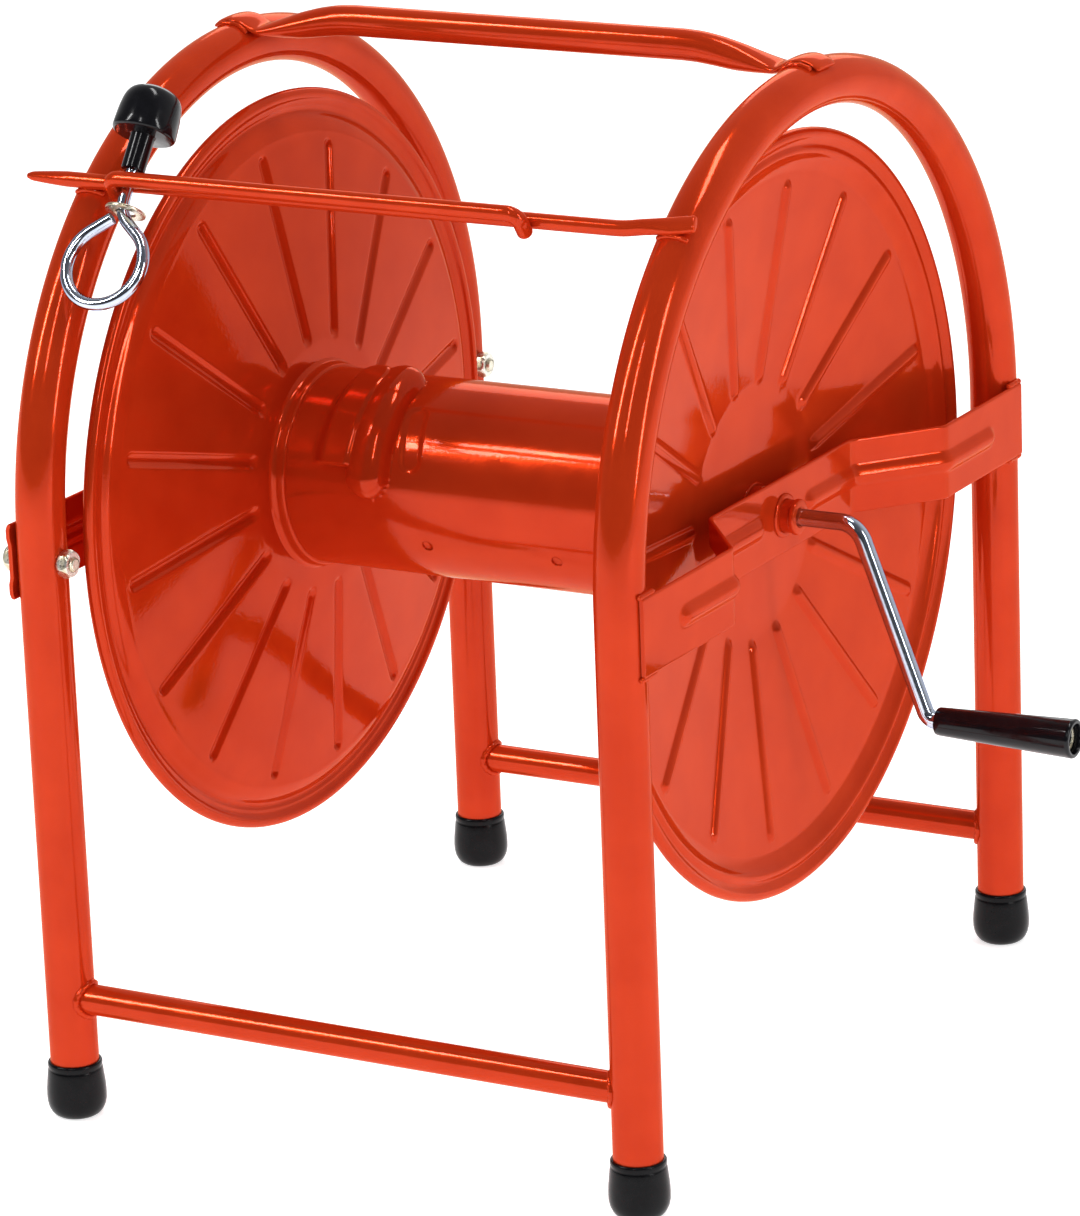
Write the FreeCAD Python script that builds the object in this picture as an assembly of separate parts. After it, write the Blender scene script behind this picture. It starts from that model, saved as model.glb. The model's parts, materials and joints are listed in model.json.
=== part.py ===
import FreeCAD, Part
import math
import os

# Hand-cranked hose reel in a welded tube stand.
# X runs along the drum axis with the crank at +X, Y runs from front to back, Z is up.
# The origin is on the floor, straight below the middle of the drum.  Millimetres.

V = FreeCAD.Vector
AXIS_X = V(1, 0, 0)
AXIS_Y = V(0, 1, 0)
AXIS_Z = V(0, 0, 1)

# ---- driving dimensions --------------------------------------------------------------------

# stand
TUBE_R = 12.7
TUBE_WALL = 1.6
FRAME_X = 166.0
LEG_Y = 213.5
ARCH_Z = 311.5
BAR_R = 8.0
BAR_WALL = 1.4
BAR_Z = 65.0

# rubber feet, as (radius, height) from the sole to the lip
FOOT_H = 30.0
FOOT_FLOOR = 4.5
FOOT_PROFILE = (
    (11.0, 0.0),
    (13.6, 3.2),
    (15.4, 8.0),
    (15.6, 12.0),
    (15.2, 19.0),
    (14.2, 26.0),
    (13.6, FOOT_H),
)

# carrying handle
HANDLE_Z = 541.5
HANDLE_FLAT_X = 104.0
SADDLE_T = 3.6
SADDLE_HALF_W = 11.0
SADDLE_OUTER_ANGLE = 38.0
SADDLE_INNER_ANGLE = 152.0
# flattening end of the handle, as (x, drop, slope, half width, half height)
HANDLE_TAIL = (
    (HANDLE_FLAT_X, 0.0, 0.0, BAR_R, BAR_R),
    (118.0, 1.0, 0.18, 8.2, 7.8),
    (134.0, 4.6, 0.28, 9.0, 6.4),
    (149.0, 8.4, 0.28, 10.5, 3.4),
    (156.0, 9.6, 0.28, 11.0, 2.6),
)

# drum axis and reel
DRUM_Z = 300.0
DRUM_R = 52.5
SHEET = 1.2
HUB_X = 129.4
RIM_X = 148.8
FLANGE_R = 199.0
CURL_R = 3.4
PLATE_R = 176.0
HUB_FLAT_R = 68.0
# (x from RIM_X, radius from PLATE_R) of the rolled edge
RIM_PROFILE = ((-4.6, 0.0), (-1.2, 7.0), (1.4, 10.0), (0.4, 13.5), (-1.2, 17.5))
RIB_COUNT = 16
RIB_R = 4.5
RIB_RISE = 2.4
RIB_IN = 72.0
RIB_OUT = 168.0
LEFT_RIB_PHASE = 7.9
RIGHT_RIB_PHASE = 16.2
NECK_WALL = 1.5
NECK_LEN = 8.0

# hose exit hood and the two clip holes in the drum
HOOD_X = -83.0
HOOD_HALF_W = 26.0
HOOD_RISE = 10.0
HOOD_ROOT = 3.0
HOOD_START = 110.0
HOOD_END = 163.0
HOOD_MOUTH_CUT = 1.5
CLIP_HOLE_R = 3.0
CLIP_HOLE_X = (-38.5, 38.5)
CLIP_HOLE_ANGLE = -153.0

# axle, bushes and crank
AXLE_R = 8.5
AXLE_BORE = 6.5
AXLE_LEFT_END = -158.0
AXLE_RIGHT_END = 153.0
RUNNING_GAP = 0.05
END_PLAY = 0.3
BUSH_R = 9.9
BUSH_FLANGE_R = 11.6
BUSH_FLANGE_T = 1.5
BUSH_BEVEL = 0.9
HUB_COLLAR_R = 14.0
PIN_R = 2.0
PIN_WALL = 0.8
PIN_X = 136.0
WASHER_OD = 26.0
AXLE_WASHER_T = 1.8
COTTER_R = 1.5
COTTER_X = -153.5
COTTER_EYE_R = 2.6
COTTER_SPREAD = 4.0
COTTER_DROP = 3.0
COTTER_LEG_R = 1.05
CRANK_R = 4.4
CRANK_THROW = 100.0
CRANK_ELBOW_X = 188.0
CRANK_WRIST_X = 226.0
CRANK_COLLAR_R = 9.3
CRANK_COLLAR_T = 3.0
CRANK_COLLAR_EDGE = 0.8
SOCKET_INNER_END = 112.0
GRIP_START_X = 231.5
GRIP_END_X = 308.0
GRIP_R_SMALL = 7.3
GRIP_R_LARGE = 10.2
GRIP_EDGE_R = 0.8
GRIP_RECESS = 5.0
GRIP_RECESS_R = 7.6
GRIP_WASHER_T = 1.2
GRIP_WASHER_R = 6.4
SPINDLE_END_X = 303.2
CRANK_ELBOW_BEND = 14.0
CRANK_WRIST_BEND = 7.0

# brackets that carry the axle
STRIP_T = 2.3
STRIP_HALF_H = 20.0
TAB_FACE_X = FRAME_X + TUBE_R + STRIP_T
MID_FACE_X = 146.5
MID_HALF_Y = 79.0
SHOULDER_Y = 122.0
WELDED_TAB_Y = 217.0
BOLTED_TAB_Y = 222.0
STRIP_BEND_R = 7.0
BEAD_R = 6.0
BEAD_WALL = 2.0
BEAD_RISE = 3.0
BEAD_TAB_END = 180.0
BEAD_HUB_END = 24.0

# M8 bolts of the left bracket
M8_R = 4.0
M8_CLEAR_R = 4.25
M8_HEX = 13.0
M8_HEAD_H = 5.3
M8_NUT_H = 6.5
M8_BOLT_TAIL = 1.6
HEX_TURN = 12.0
NUT_BEVEL_RISE = 3.7
NUT_SEAT_R = 10.0
NUT_SEAT_DEPTH = 0.8
NUT_SEAT_X = FRAME_X - TUBE_R + NUT_SEAT_DEPTH

# guide rods over the front of the arches
ROD_R = 4.0
ROD_ANGLE = 131.5
ROD_LEFT_END = -200.0
ROD_RIGHT_END = 177.0
ROD_BEND_X = 142.0
ROD_BEND_R = 40.0
ROD_END_ANGLE = 129.7
SLOT_FORWARD = 14.1
SLOT_UP = 6.2
SLOT_LEFT_X = -144.0
SLOT_RIGHT_X = 91.0
HOOK_LEN = 15.0
HOOK_BEND_R = 6.5
WELD_R = 6.0
WELD_SINK = 0.2
ROD_TIP_LEN = 22.0
ROD_TIP_R = 2.4

# sliding hose guide
STEM_X = -136.2
STEM_LEAN = 36.0
WIRE_R = 3.2
EYE_R = 21.8
EYE_DROP = 45.0
EYE_JOIN = 52.0
EYE_END = 128.0
EYE_LEG = 12.3
WIRE_TOP = 22.0
NECK_DROP = 19.0
WASHER_R = 10.5
WASHER_HOLE_R = 5.25
WASHER_SHIFT = 3.0
WASHER_T = 1.6
WASHER_DROP = 16.0
KNOB_STEM_R = 6.2
KNOB_STEM_BOTTOM = 6.0
KNOB_BOTTOM = 25.5
KNOB_TOP = 52.5
KNOB_R = 16.5
KNOB_EDGE = 1.5
KNOB_TAPER = 0.8
KNOB_SHOULDER_DROP = 13.0
KNOB_CROWN_R = 8.5
KNOB_CROWN_DROP = 2.2
KNOB_BEND_R = 13.6
KNOB_BEND_DROP = 5.6

# ---- small helpers -------------------------------------------------------------------------


def rod(radius, start, end):
    """Solid round rod between two points."""
    return Part.makeCylinder(radius, (end - start).Length, start, end - start)


def ring(outer, inner, start, end):
    """Round tube between two points."""
    return rod(outer, start, end).cut(rod(inner, start, end))


def capsule(radius, start, end):
    """Rod with a ball at each end."""
    balls = [Part.makeSphere(radius, start), Part.makeSphere(radius, end)]
    return rod(radius, start, end).multiFuse(balls)


def on_axis(x, radius=0.0, angle=0.0):
    """Point around the drum axis, with its angle measured from +Y towards +Z."""
    a = math.radians(angle)
    return V(x, radius * math.cos(a), DRUM_Z + radius * math.sin(a))


def face_of(points):
    """Flat face inside a closed polygon."""
    return Part.Face(Part.makePolygon(points + points[:1]))


def turned(profile):
    """Solid turned about the drum axis from (x, radius) points."""
    face = face_of([V(x, r, DRUM_Z) for x, r in profile])
    return face.revolve(on_axis(0), AXIS_X, 360)


def hexagon(across_flats, height, centre, direction):
    """Hexagonal prism along +X or -X."""
    radius = across_flats / math.sqrt(3)
    corners = []
    for k in range(6):
        a = math.radians(60 * k + HEX_TURN)
        corners.append(centre + V(0, radius * math.cos(a), radius * math.sin(a)))
    return face_of(corners).extrude(direction * height)


def bent_path(points, radii):
    """Wire through the points, with an arc of the given radius at each inner point."""
    edges = []
    last = points[0]
    for i in range(1, len(points) - 1):
        before = (points[i - 1] - points[i]).normalize()
        after = (points[i + 1] - points[i]).normalize()
        half = before.getAngle(after) / 2
        leg = radii[i - 1] / math.tan(half)
        start = points[i] + before * leg
        end = points[i] + after * leg
        bisector = (before + after).normalize()
        centre = points[i] + bisector * (radii[i - 1] / math.sin(half))
        middle = centre - bisector * radii[i - 1]
        if (start - last).Length > 1e-6:
            edges.append(Part.LineSegment(last, start).toShape())
        edges.append(Part.Arc(start, middle, end).toShape())
        last = end
    edges.append(Part.LineSegment(last, points[-1]).toShape())
    return Part.Wire(edges)


def swept_round(path, radius, start, direction):
    """Round bar swept along a wire."""
    section = Part.Wire([Part.Circle(start, direction, radius).toShape()])
    return path.makePipeShell([section], True, False)


def write(name, shape):
    """Write one node as a STEP file."""
    shape.exportStep("parts/" + name + ".step")
    print(name, len(shape.Solids), round(shape.Volume), shape.isValid())


# ---- stand ---------------------------------------------------------------------------------


def arch_solid(x, radius):
    """Leg, half-circle and leg as one solid of the given section radius."""
    left_top = V(x, -LEG_Y, ARCH_Z)
    right_top = V(x, LEG_Y, ARCH_Z)
    section = Part.Face(Part.Wire([Part.Circle(left_top, AXIS_Z, radius).toShape()]))
    bow = section.revolve(V(x, 0, ARCH_Z), AXIS_X, -180)
    legs = [rod(radius, top, V(x, top.y, FOOT_FLOOR)) for top in (left_top, right_top)]
    return bow.multiFuse(legs).removeSplitter()


def arch_tube(x):
    """Bent tube of one side of the stand, open at both lower ends."""
    return arch_solid(x, TUBE_R).cut(arch_solid(x, TUBE_R - TUBE_WALL))


def left_arch_tube():
    """Left tube with bolt holes and a small flat seat under each nut."""
    tube = arch_tube(-FRAME_X)
    for y in (-LEG_Y, LEG_Y):
        outside = V(-TAB_FACE_X - 1, y, DRUM_Z)
        inside = V(-NUT_SEAT_X, y, DRUM_Z)
        tube = tube.cut(rod(M8_CLEAR_R, outside, inside + V(5, 0, 0)))
        tube = tube.cut(rod(NUT_SEAT_R, inside, inside + V(5, 0, 0)))
    return tube


def crossbar(y):
    """Lower tube between two legs, saddled onto them."""
    start = V(-FRAME_X, y, BAR_Z)
    end = V(FRAME_X, y, BAR_Z)
    bar = ring(BAR_R, BAR_R - BAR_WALL, start, end)
    for x in (-FRAME_X, FRAME_X):
        bar = bar.cut(rod(TUBE_R, V(x, y, 0), V(x, y, ARCH_Z)))
    return bar


def foot(x, y):
    """Rubber ferrule on the end of a leg."""
    points = [V(0, 0, 0)] + [V(r, 0, z) for r, z in FOOT_PROFILE]
    points += [V(TUBE_R, 0, FOOT_H), V(TUBE_R, 0, FOOT_FLOOR), V(0, 0, FOOT_FLOOR)]
    body = face_of(points).revolve(V(0, 0, 0), AXIS_Z, 360)
    body.translate(V(x, y, 0))
    return body


# ---- carrying handle -----------------------------------------------------------------------


def saddle(side):
    """Flattened end of the handle, wrapped over the top of one arch tube."""
    centre = V(side * FRAME_X, 0, ARCH_Z + LEG_Y)
    outer = TUBE_R + SADDLE_T
    ends = (math.radians(SADDLE_OUTER_ANGLE), math.radians(SADDLE_INNER_ANGLE))
    middle = (ends[0] + ends[1]) / 2

    def at(radius, angle):
        return centre + V(side * radius * math.cos(angle), 0, radius * math.sin(angle))

    edges = [
        Part.Arc(at(outer, ends[0]), at(outer, middle), at(outer, ends[1])).toShape(),
        Part.LineSegment(at(outer, ends[1]), at(TUBE_R, ends[1])).toShape(),
        Part.Arc(at(TUBE_R, ends[1]), at(TUBE_R, middle), at(TUBE_R, ends[0])).toShape(),
        Part.LineSegment(at(TUBE_R, ends[0]), at(outer, ends[0])).toShape(),
    ]
    section = Part.Face(Part.Wire(edges))
    half_turn = math.degrees(math.asin(SADDLE_HALF_W / LEG_Y))
    bow_centre = V(0, 0, ARCH_Z)
    section.rotate(bow_centre, AXIS_X, -half_turn)
    return section.revolve(bow_centre, AXIS_X, 2 * half_turn)


def oval(centre, direction, half_width, half_height):
    """Round or elliptical wire across the handle, wide along Y."""
    if half_width == half_height:
        return Part.Wire([Part.Circle(centre, direction, half_width).toShape()])
    tall = direction.cross(AXIS_Y).normalize()
    tip = centre + AXIS_Y * half_width
    side = centre + tall * half_height
    return Part.Wire([Part.Ellipse(tip, side, centre).toShape()])


def carry_handle():
    """Round tube with both ends flattened and wrapped over the arches."""
    straight = ring(BAR_R, BAR_R - BAR_WALL, V(-HANDLE_FLAT_X, 0, HANDLE_Z),
                    V(HANDLE_FLAT_X, 0, HANDLE_Z))
    arches = [arch_solid(-FRAME_X, TUBE_R), arch_solid(FRAME_X, TUBE_R)]
    pieces = []
    for side in (-1, 1):
        sections = []
        for x, drop, slope, half_w, half_h in HANDLE_TAIL:
            direction = V(side, 0, -slope).normalize()
            sections.append(oval(V(side * x, 0, HANDLE_Z - drop), direction, half_w, half_h))
        tail = Part.makeLoft(sections, True, False).cut(arches[0]).cut(arches[1])
        pieces += [tail, saddle(side)]
    return straight.multiFuse(pieces)


# ---- brackets ------------------------------------------------------------------------------


def strip_line(offset, tab_y):
    """Corner points of the strip, seen from above, a distance inside its outer face."""
    run = SHOULDER_Y - MID_HALF_Y
    rise = TAB_FACE_X - MID_FACE_X
    shift = offset * (math.hypot(run, rise) - run) / rise
    half = [V(TAB_FACE_X - offset, tab_y, 0), V(TAB_FACE_X - offset, SHOULDER_Y + shift, 0)]
    half.append(V(MID_FACE_X - offset, MID_HALF_Y + shift, 0))
    return half + [V(p.x, -p.y, 0) for p in reversed(half)]


def strip_solid(inner, outer, tab_y):
    """Bent strip between two offsets, over its whole height."""
    outline = strip_line(outer, tab_y) + list(reversed(strip_line(inner, tab_y)))
    body = face_of(outline).extrude(V(0, 0, 2 * STRIP_HALF_H))
    body.translate(V(0, 0, DRUM_Z - STRIP_HALF_H))
    return body


def bead(radius):
    """Stiffening bead that follows the strip, in two halves beside the hub."""
    depth = BEAD_R - BEAD_RISE
    line = strip_line(depth, BEAD_TAB_END)
    halves = []
    for side, corners in ((1, line[:3]), (-1, list(reversed(line))[:3])):
        stops = corners + [V(MID_FACE_X - depth, side * BEAD_HUB_END, 0)]
        stops = [p + V(0, 0, DRUM_Z) for p in stops]
        halves += [capsule(radius, a, b) for a, b in zip(stops, stops[1:])]
    return halves[0].multiFuse(halves[1:])


def bracket(side, tab_y):
    """Pressed strip between the two legs of one side, with the bearing hole in the middle."""
    body = strip_solid(STRIP_T, 0, tab_y)
    long_edges = []
    for edge in body.Edges:
        middle = edge.CenterOfMass
        upright = abs(edge.tangentAt(edge.FirstParameter).z) > 0.9
        if upright and abs(middle.y) < tab_y - 1:
            long_edges.append(edge)
    body = body.makeFillet(STRIP_BEND_R, long_edges)
    ridge = bead(BEAD_R).common(strip_solid(STRIP_T, -2 * BEAD_RISE, tab_y))
    body = body.fuse(ridge).cut(bead(BEAD_R - BEAD_WALL))
    body = body.cut(rod(BUSH_R, on_axis(HUB_X), on_axis(TAB_FACE_X)))
    if side < 0:
        body = body.mirror(V(0, 0, 0), AXIS_X)
        for y in (-LEG_Y, LEG_Y):
            hole = rod(M8_CLEAR_R, V(-TAB_FACE_X, y, DRUM_Z), V(-FRAME_X, y, DRUM_Z))
            body = body.cut(hole)
    return body


def bush(side):
    """Flanged bearing bush, its flanges gripping both faces of the bracket."""
    outer_face = MID_FACE_X
    inner_face = MID_FACE_X - STRIP_T
    bore = AXLE_R + RUNNING_GAP
    profile = [
        (side * (inner_face - BUSH_FLANGE_T), bore),
        (side * (outer_face + BUSH_FLANGE_T), bore),
        (side * (outer_face + BUSH_FLANGE_T), BUSH_FLANGE_R - BUSH_BEVEL),
        (side * outer_face, BUSH_FLANGE_R),
        (side * outer_face, BUSH_R),
        (side * inner_face, BUSH_R),
        (side * inner_face, BUSH_FLANGE_R),
        (side * (inner_face - BUSH_FLANGE_T), BUSH_FLANGE_R),
    ]
    return turned(profile)


def bracket_bolts():
    """Two M8 hexagon bolts, heads outside the left bracket."""
    bolts = []
    for y in (-LEG_Y, LEG_Y):
        under_head = V(-TAB_FACE_X, y, DRUM_Z)
        tip = V(-NUT_SEAT_X + M8_NUT_H + M8_BOLT_TAIL, y, DRUM_Z)
        head = hexagon(M8_HEX, M8_HEAD_H, under_head, -AXIS_X)
        bolts.append(head.fuse(rod(M8_R, under_head, tip)))
    return Part.makeCompound(bolts)


def bracket_nuts():
    """Two M8 nuts on the inner side of the left legs."""
    nuts = []
    for y in (-LEG_Y, LEG_Y):
        seat = V(-NUT_SEAT_X, y, DRUM_Z)
        nut = hexagon(M8_HEX, M8_NUT_H, seat, AXIS_X)
        narrow = M8_HEX / math.sqrt(3) - M8_CLEAR_R + M8_R
        bevel = Part.makeCone(narrow + NUT_BEVEL_RISE, narrow, M8_NUT_H, seat, AXIS_X)
        hole = rod(M8_R, seat, seat + V(M8_NUT_H, 0, 0))
        nuts.append(nut.common(bevel).cut(hole))
    return Part.makeCompound(nuts)


# ---- reel ----------------------------------------------------------------------------------


def flange_surface(offset):
    """(x, radius) line of the flange's outer face, moved inwards by an offset."""
    return [
        (HUB_X - offset, AXLE_R),
        (HUB_X - offset, HUB_FLAT_R),
    ] + [(RIM_X + x - offset, PLATE_R + r) for x, r in RIM_PROFILE]


def flange_band(inner, outer):
    """Turned sheet between two offsets of the flange's outer face."""
    return turned(flange_surface(outer) + list(reversed(flange_surface(inner))))


def ribs(radius, phase):
    """Radial bars that stand RIB_RISE proud of the conical plate."""
    sink = RIB_R - RIB_RISE
    (x0, r0), (x1, r1) = flange_surface(0)[1:3]
    slope = (x1 - x0) / (r1 - r0)
    bars = []
    for k in range(RIB_COUNT):
        angle = phase + 360.0 / RIB_COUNT * k
        start = on_axis(x0 + slope * (RIB_IN - r0) - sink, RIB_IN, angle)
        end = on_axis(x0 + slope * (RIB_OUT - r0) - sink, RIB_OUT, angle)
        bars.append(capsule(radius, start, end))
    return bars


def flange(side, phase):
    """Dished, ribbed side disc with a rolled rim and a neck round the drum."""
    sheet = flange_band(SHEET, 0)
    proud = flange_band(SHEET, -2 * RIB_RISE)
    ridges = [bar.common(proud) for bar in ribs(RIB_R, phase)]
    curl = Part.makeTorus(FLANGE_R - CURL_R, CURL_R, on_axis(RIM_X), AXIS_X)
    neck_start = HUB_X - SHEET
    neck = ring(DRUM_R + NECK_WALL, DRUM_R, on_axis(neck_start), on_axis(neck_start - NECK_LEN))
    body = sheet.multiFuse(ridges + [curl, neck])
    body = body.cut(Part.makeCompound(ribs(RIB_R - SHEET, phase)))
    if side < 0:
        body = body.mirror(V(0, 0, 0), AXIS_X)
    return body


def bulge(half_w, radius, end_angle):
    """Lens-shaped band round part of the drum, with a domed upper end."""
    base = DRUM_R - HOOD_ROOT
    left = on_axis(HOOD_X - half_w, base, 90)
    top = on_axis(HOOD_X, radius, 90)
    right = on_axis(HOOD_X + half_w, base, 90)
    foot_point = on_axis(HOOD_X, base, 90)
    arc = Part.Arc(left, top, right).toShape()
    face = Part.Face(Part.Wire([arc, Part.LineSegment(right, left).toShape()]))
    cut_away = Part.makeBox(half_w, 1, radius, left - V(0, 0.5, 0))
    half_face = face.cut(cut_away)
    dome = half_face.revolve(foot_point, AXIS_Z, 360)
    band = face.revolve(on_axis(0), AXIS_X, end_angle - HOOD_START)
    dome.rotate(on_axis(0), AXIS_X, HOOD_START - 90)
    band.rotate(on_axis(0), AXIS_X, HOOD_START - 90)
    return band.fuse(dome)


def drum():
    """Rolled drum tube with the hooded hose exit and two clip holes."""
    start = on_axis(-HUB_X + SHEET)
    end = on_axis(HUB_X - SHEET)
    outer = rod(DRUM_R, start, end)
    inner = rod(DRUM_R - SHEET, start, end)
    shell = bulge(HOOD_HALF_W, DRUM_R + HOOD_RISE, HOOD_END)
    hollow = bulge(HOOD_HALF_W - SHEET, DRUM_R + HOOD_RISE - SHEET, HOOD_END + HOOD_MOUTH_CUT)
    body = outer.fuse(shell).cut(inner).cut(hollow)
    for x in CLIP_HOLE_X:
        hole = rod(CLIP_HOLE_R, on_axis(x), on_axis(x, FLANGE_R, CLIP_HOLE_ANGLE))
        body = body.cut(hole)
    return body


def pin_ends(side):
    """Lower and upper end of one cross pin."""
    centre = on_axis(side * PIN_X)
    return centre - AXIS_Z * HUB_COLLAR_R, centre + AXIS_Z * HUB_COLLAR_R


def cross_pin(side):
    """Spring pin through the hub collar and the axle."""
    bottom, top = pin_ends(side)
    return ring(PIN_R, PIN_R - PIN_WALL, bottom, top)


def drill_pins(body):
    """Cut both cross pin holes."""
    for side in (-1, 1):
        bottom, top = pin_ends(side)
        body = body.cut(rod(PIN_R, bottom, top))
    return body


def hub_collar(side):
    """Thick ring outside a flange that carries the axle's cross pin."""
    start = on_axis(side * HUB_X)
    end = on_axis(side * (MID_FACE_X - STRIP_T - BUSH_FLANGE_T - END_PLAY))
    return drill_pins(ring(HUB_COLLAR_R, AXLE_R, start, end))


def axle_tube():
    """Tube through both hubs and both bushes."""
    body = ring(AXLE_R, AXLE_BORE, on_axis(AXLE_LEFT_END), on_axis(AXLE_RIGHT_END))
    reach = AXIS_Z * HUB_COLLAR_R
    hole = rod(COTTER_R, on_axis(COTTER_X) - reach, on_axis(COTTER_X) + reach)
    return drill_pins(body).cut(hole)


def axle_washer():
    """Plain washer outside the left bush."""
    start = on_axis(-MID_FACE_X - BUSH_FLANGE_T - END_PLAY)
    return ring(WASHER_OD / 2, AXLE_R, start, start - V(AXLE_WASHER_T, 0, 0))


def axle_cotter():
    """Split pin through the left end of the axle, legs spread."""
    eye = on_axis(COTTER_X) + AXIS_Z * (AXLE_R + COTTER_EYE_R + COTTER_R)
    split = on_axis(COTTER_X) - AXIS_Z * (AXLE_R + COTTER_R)
    stem = rod(COTTER_R, eye - AXIS_Z * COTTER_EYE_R, split)
    head = Part.makeTorus(COTTER_EYE_R, COTTER_R, eye, AXIS_X)
    tips = [split + V(0, s * COTTER_SPREAD, -COTTER_DROP) for s in (-1, 1)]
    legs = [capsule(COTTER_LEG_R, split, tip) for tip in tips]
    return stem.multiFuse([head] + legs)


def crank_socket():
    """Sleeve inside the axle that takes the crank, with a collar on its outer end."""
    inner = on_axis(SOCKET_INNER_END)
    seat = on_axis(AXLE_RIGHT_END)
    tip = on_axis(AXLE_RIGHT_END + CRANK_COLLAR_T)
    body = rod(AXLE_BORE, inner, tip)
    collar = rod(CRANK_COLLAR_R, seat, tip)
    outer_rim = [e for e in collar.Edges if abs(e.CenterOfMass.x - tip.x) < CRANK_COLLAR_EDGE]
    body = body.fuse(collar.makeFillet(CRANK_COLLAR_EDGE, outer_rim))
    return drill_pins(body.cut(rod(CRANK_R, inner, tip)))


def crank_rod():
    """Bent round bar: axle end, arm and grip spindle, with a peened tip."""
    inner = on_axis(SOCKET_INNER_END)
    low = DRUM_Z - CRANK_THROW
    points = [inner, on_axis(CRANK_ELBOW_X), V(CRANK_WRIST_X, 0, low), V(SPINDLE_END_X, 0, low)]
    path = bent_path(points, [CRANK_ELBOW_BEND, CRANK_WRIST_BEND])
    body = swept_round(path, CRANK_R, inner, AXIS_X)
    rim = [e for e in body.Edges if abs(e.CenterOfMass.x - SPINDLE_END_X) < 0.1]
    return drill_pins(body.makeFillet(CRANK_R / 2, rim))


def crank_grip():
    """Tapered hand grip that turns on the spindle, recessed at its outer end."""
    low = DRUM_Z - CRANK_THROW
    start = V(GRIP_START_X, 0, low)
    length = GRIP_END_X - GRIP_START_X
    body = Part.makeCone(GRIP_R_SMALL, GRIP_R_LARGE, length, start, AXIS_X)
    rims = [e for e in body.Edges if isinstance(e.Curve, Part.Circle)]
    body = body.makeFillet(GRIP_EDGE_R, rims)
    recess = V(GRIP_END_X - GRIP_RECESS, 0, low)
    body = body.cut(rod(GRIP_RECESS_R, recess, V(GRIP_END_X, 0, low)))
    return body.cut(rod(CRANK_R + RUNNING_GAP, start, recess))


def grip_washer():
    """Push-on washer that keeps the grip on the spindle."""
    low = DRUM_Z - CRANK_THROW
    start = V(GRIP_END_X - GRIP_RECESS + END_PLAY, 0, low)
    return ring(GRIP_WASHER_R, CRANK_R, start, start + V(GRIP_WASHER_T, 0, 0))


# ---- hose guide ----------------------------------------------------------------------------


def rod_centre(x, angle=ROD_ANGLE):
    """Centre of the guide rod, resting on the front of the arches."""
    a = math.radians(angle)
    reach = LEG_Y + TUBE_R + ROD_R - WELD_SINK
    return V(x, reach * math.cos(a), ARCH_Z + reach * math.sin(a))


def slot_centre(x):
    """Centre of the second rod, in front of the guide rod."""
    return rod_centre(x) + V(0, -SLOT_FORWARD, SLOT_UP)


def guide_rod():
    """Round rod across both arches, tapered at the left and bent up at the right."""
    left = rod_centre(ROD_LEFT_END)
    shoulder = rod_centre(ROD_LEFT_END + ROD_TIP_LEN)
    bend = rod_centre(ROD_BEND_X)
    right = rod_centre(ROD_RIGHT_END, ROD_END_ANGLE)
    path = bent_path([shoulder, bend, right], [ROD_BEND_R])
    body = swept_round(path, ROD_R, shoulder, AXIS_X)
    tip = Part.makeCone(ROD_TIP_R, ROD_R, ROD_TIP_LEN, left, AXIS_X)
    over_arch = bend + (right - bend) * ((FRAME_X - ROD_BEND_X) / (ROD_RIGHT_END - ROD_BEND_X))
    welds = [Part.makeSphere(WELD_R, point) for point in (rod_centre(-FRAME_X), over_arch)]
    body = body.multiFuse([tip, Part.makeSphere(ROD_TIP_R, left)] + welds)
    for x in (-FRAME_X, FRAME_X):
        body = body.cut(arch_solid(x, TUBE_R))
    return body


def guide_slot_rod():
    """Second rod, hooked down at both ends over the guide rod to close the slot."""
    to_rod = V(0, SLOT_FORWARD, -SLOT_UP).normalize()
    past_rod = math.asin(2 * ROD_R / math.hypot(SLOT_FORWARD, SLOT_UP))
    down = to_rod * math.cos(past_rod) - AXIS_X.cross(to_rod) * math.sin(past_rod)
    corners = [slot_centre(SLOT_LEFT_X), slot_centre(SLOT_RIGHT_X)]
    points = [corners[0] + down * HOOK_LEN] + corners + [corners[1] + down * HOOK_LEN]
    path = bent_path(points, [HOOK_BEND_R, HOOK_BEND_R])
    body = swept_round(path, ROD_R, points[0], down)
    balls = [Part.makeSphere(ROD_R, points[0]), Part.makeSphere(ROD_R, points[-1])]
    keep_off = rod(ROD_R, rod_centre(ROD_LEFT_END), rod_centre(ROD_RIGHT_END))
    return body.multiFuse(balls).cut(keep_off)


def stem_point(height, across=0.0, x=STEM_X):
    """Point on the leaning stem of the hose guide, measured up from the slot."""
    a = math.radians(STEM_LEAN)
    base = (rod_centre(x) + slot_centre(x)) * 0.5
    return base + V(0, math.sin(a), math.cos(a)) * height + V(0, -math.cos(a), math.sin(a)) * across


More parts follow.
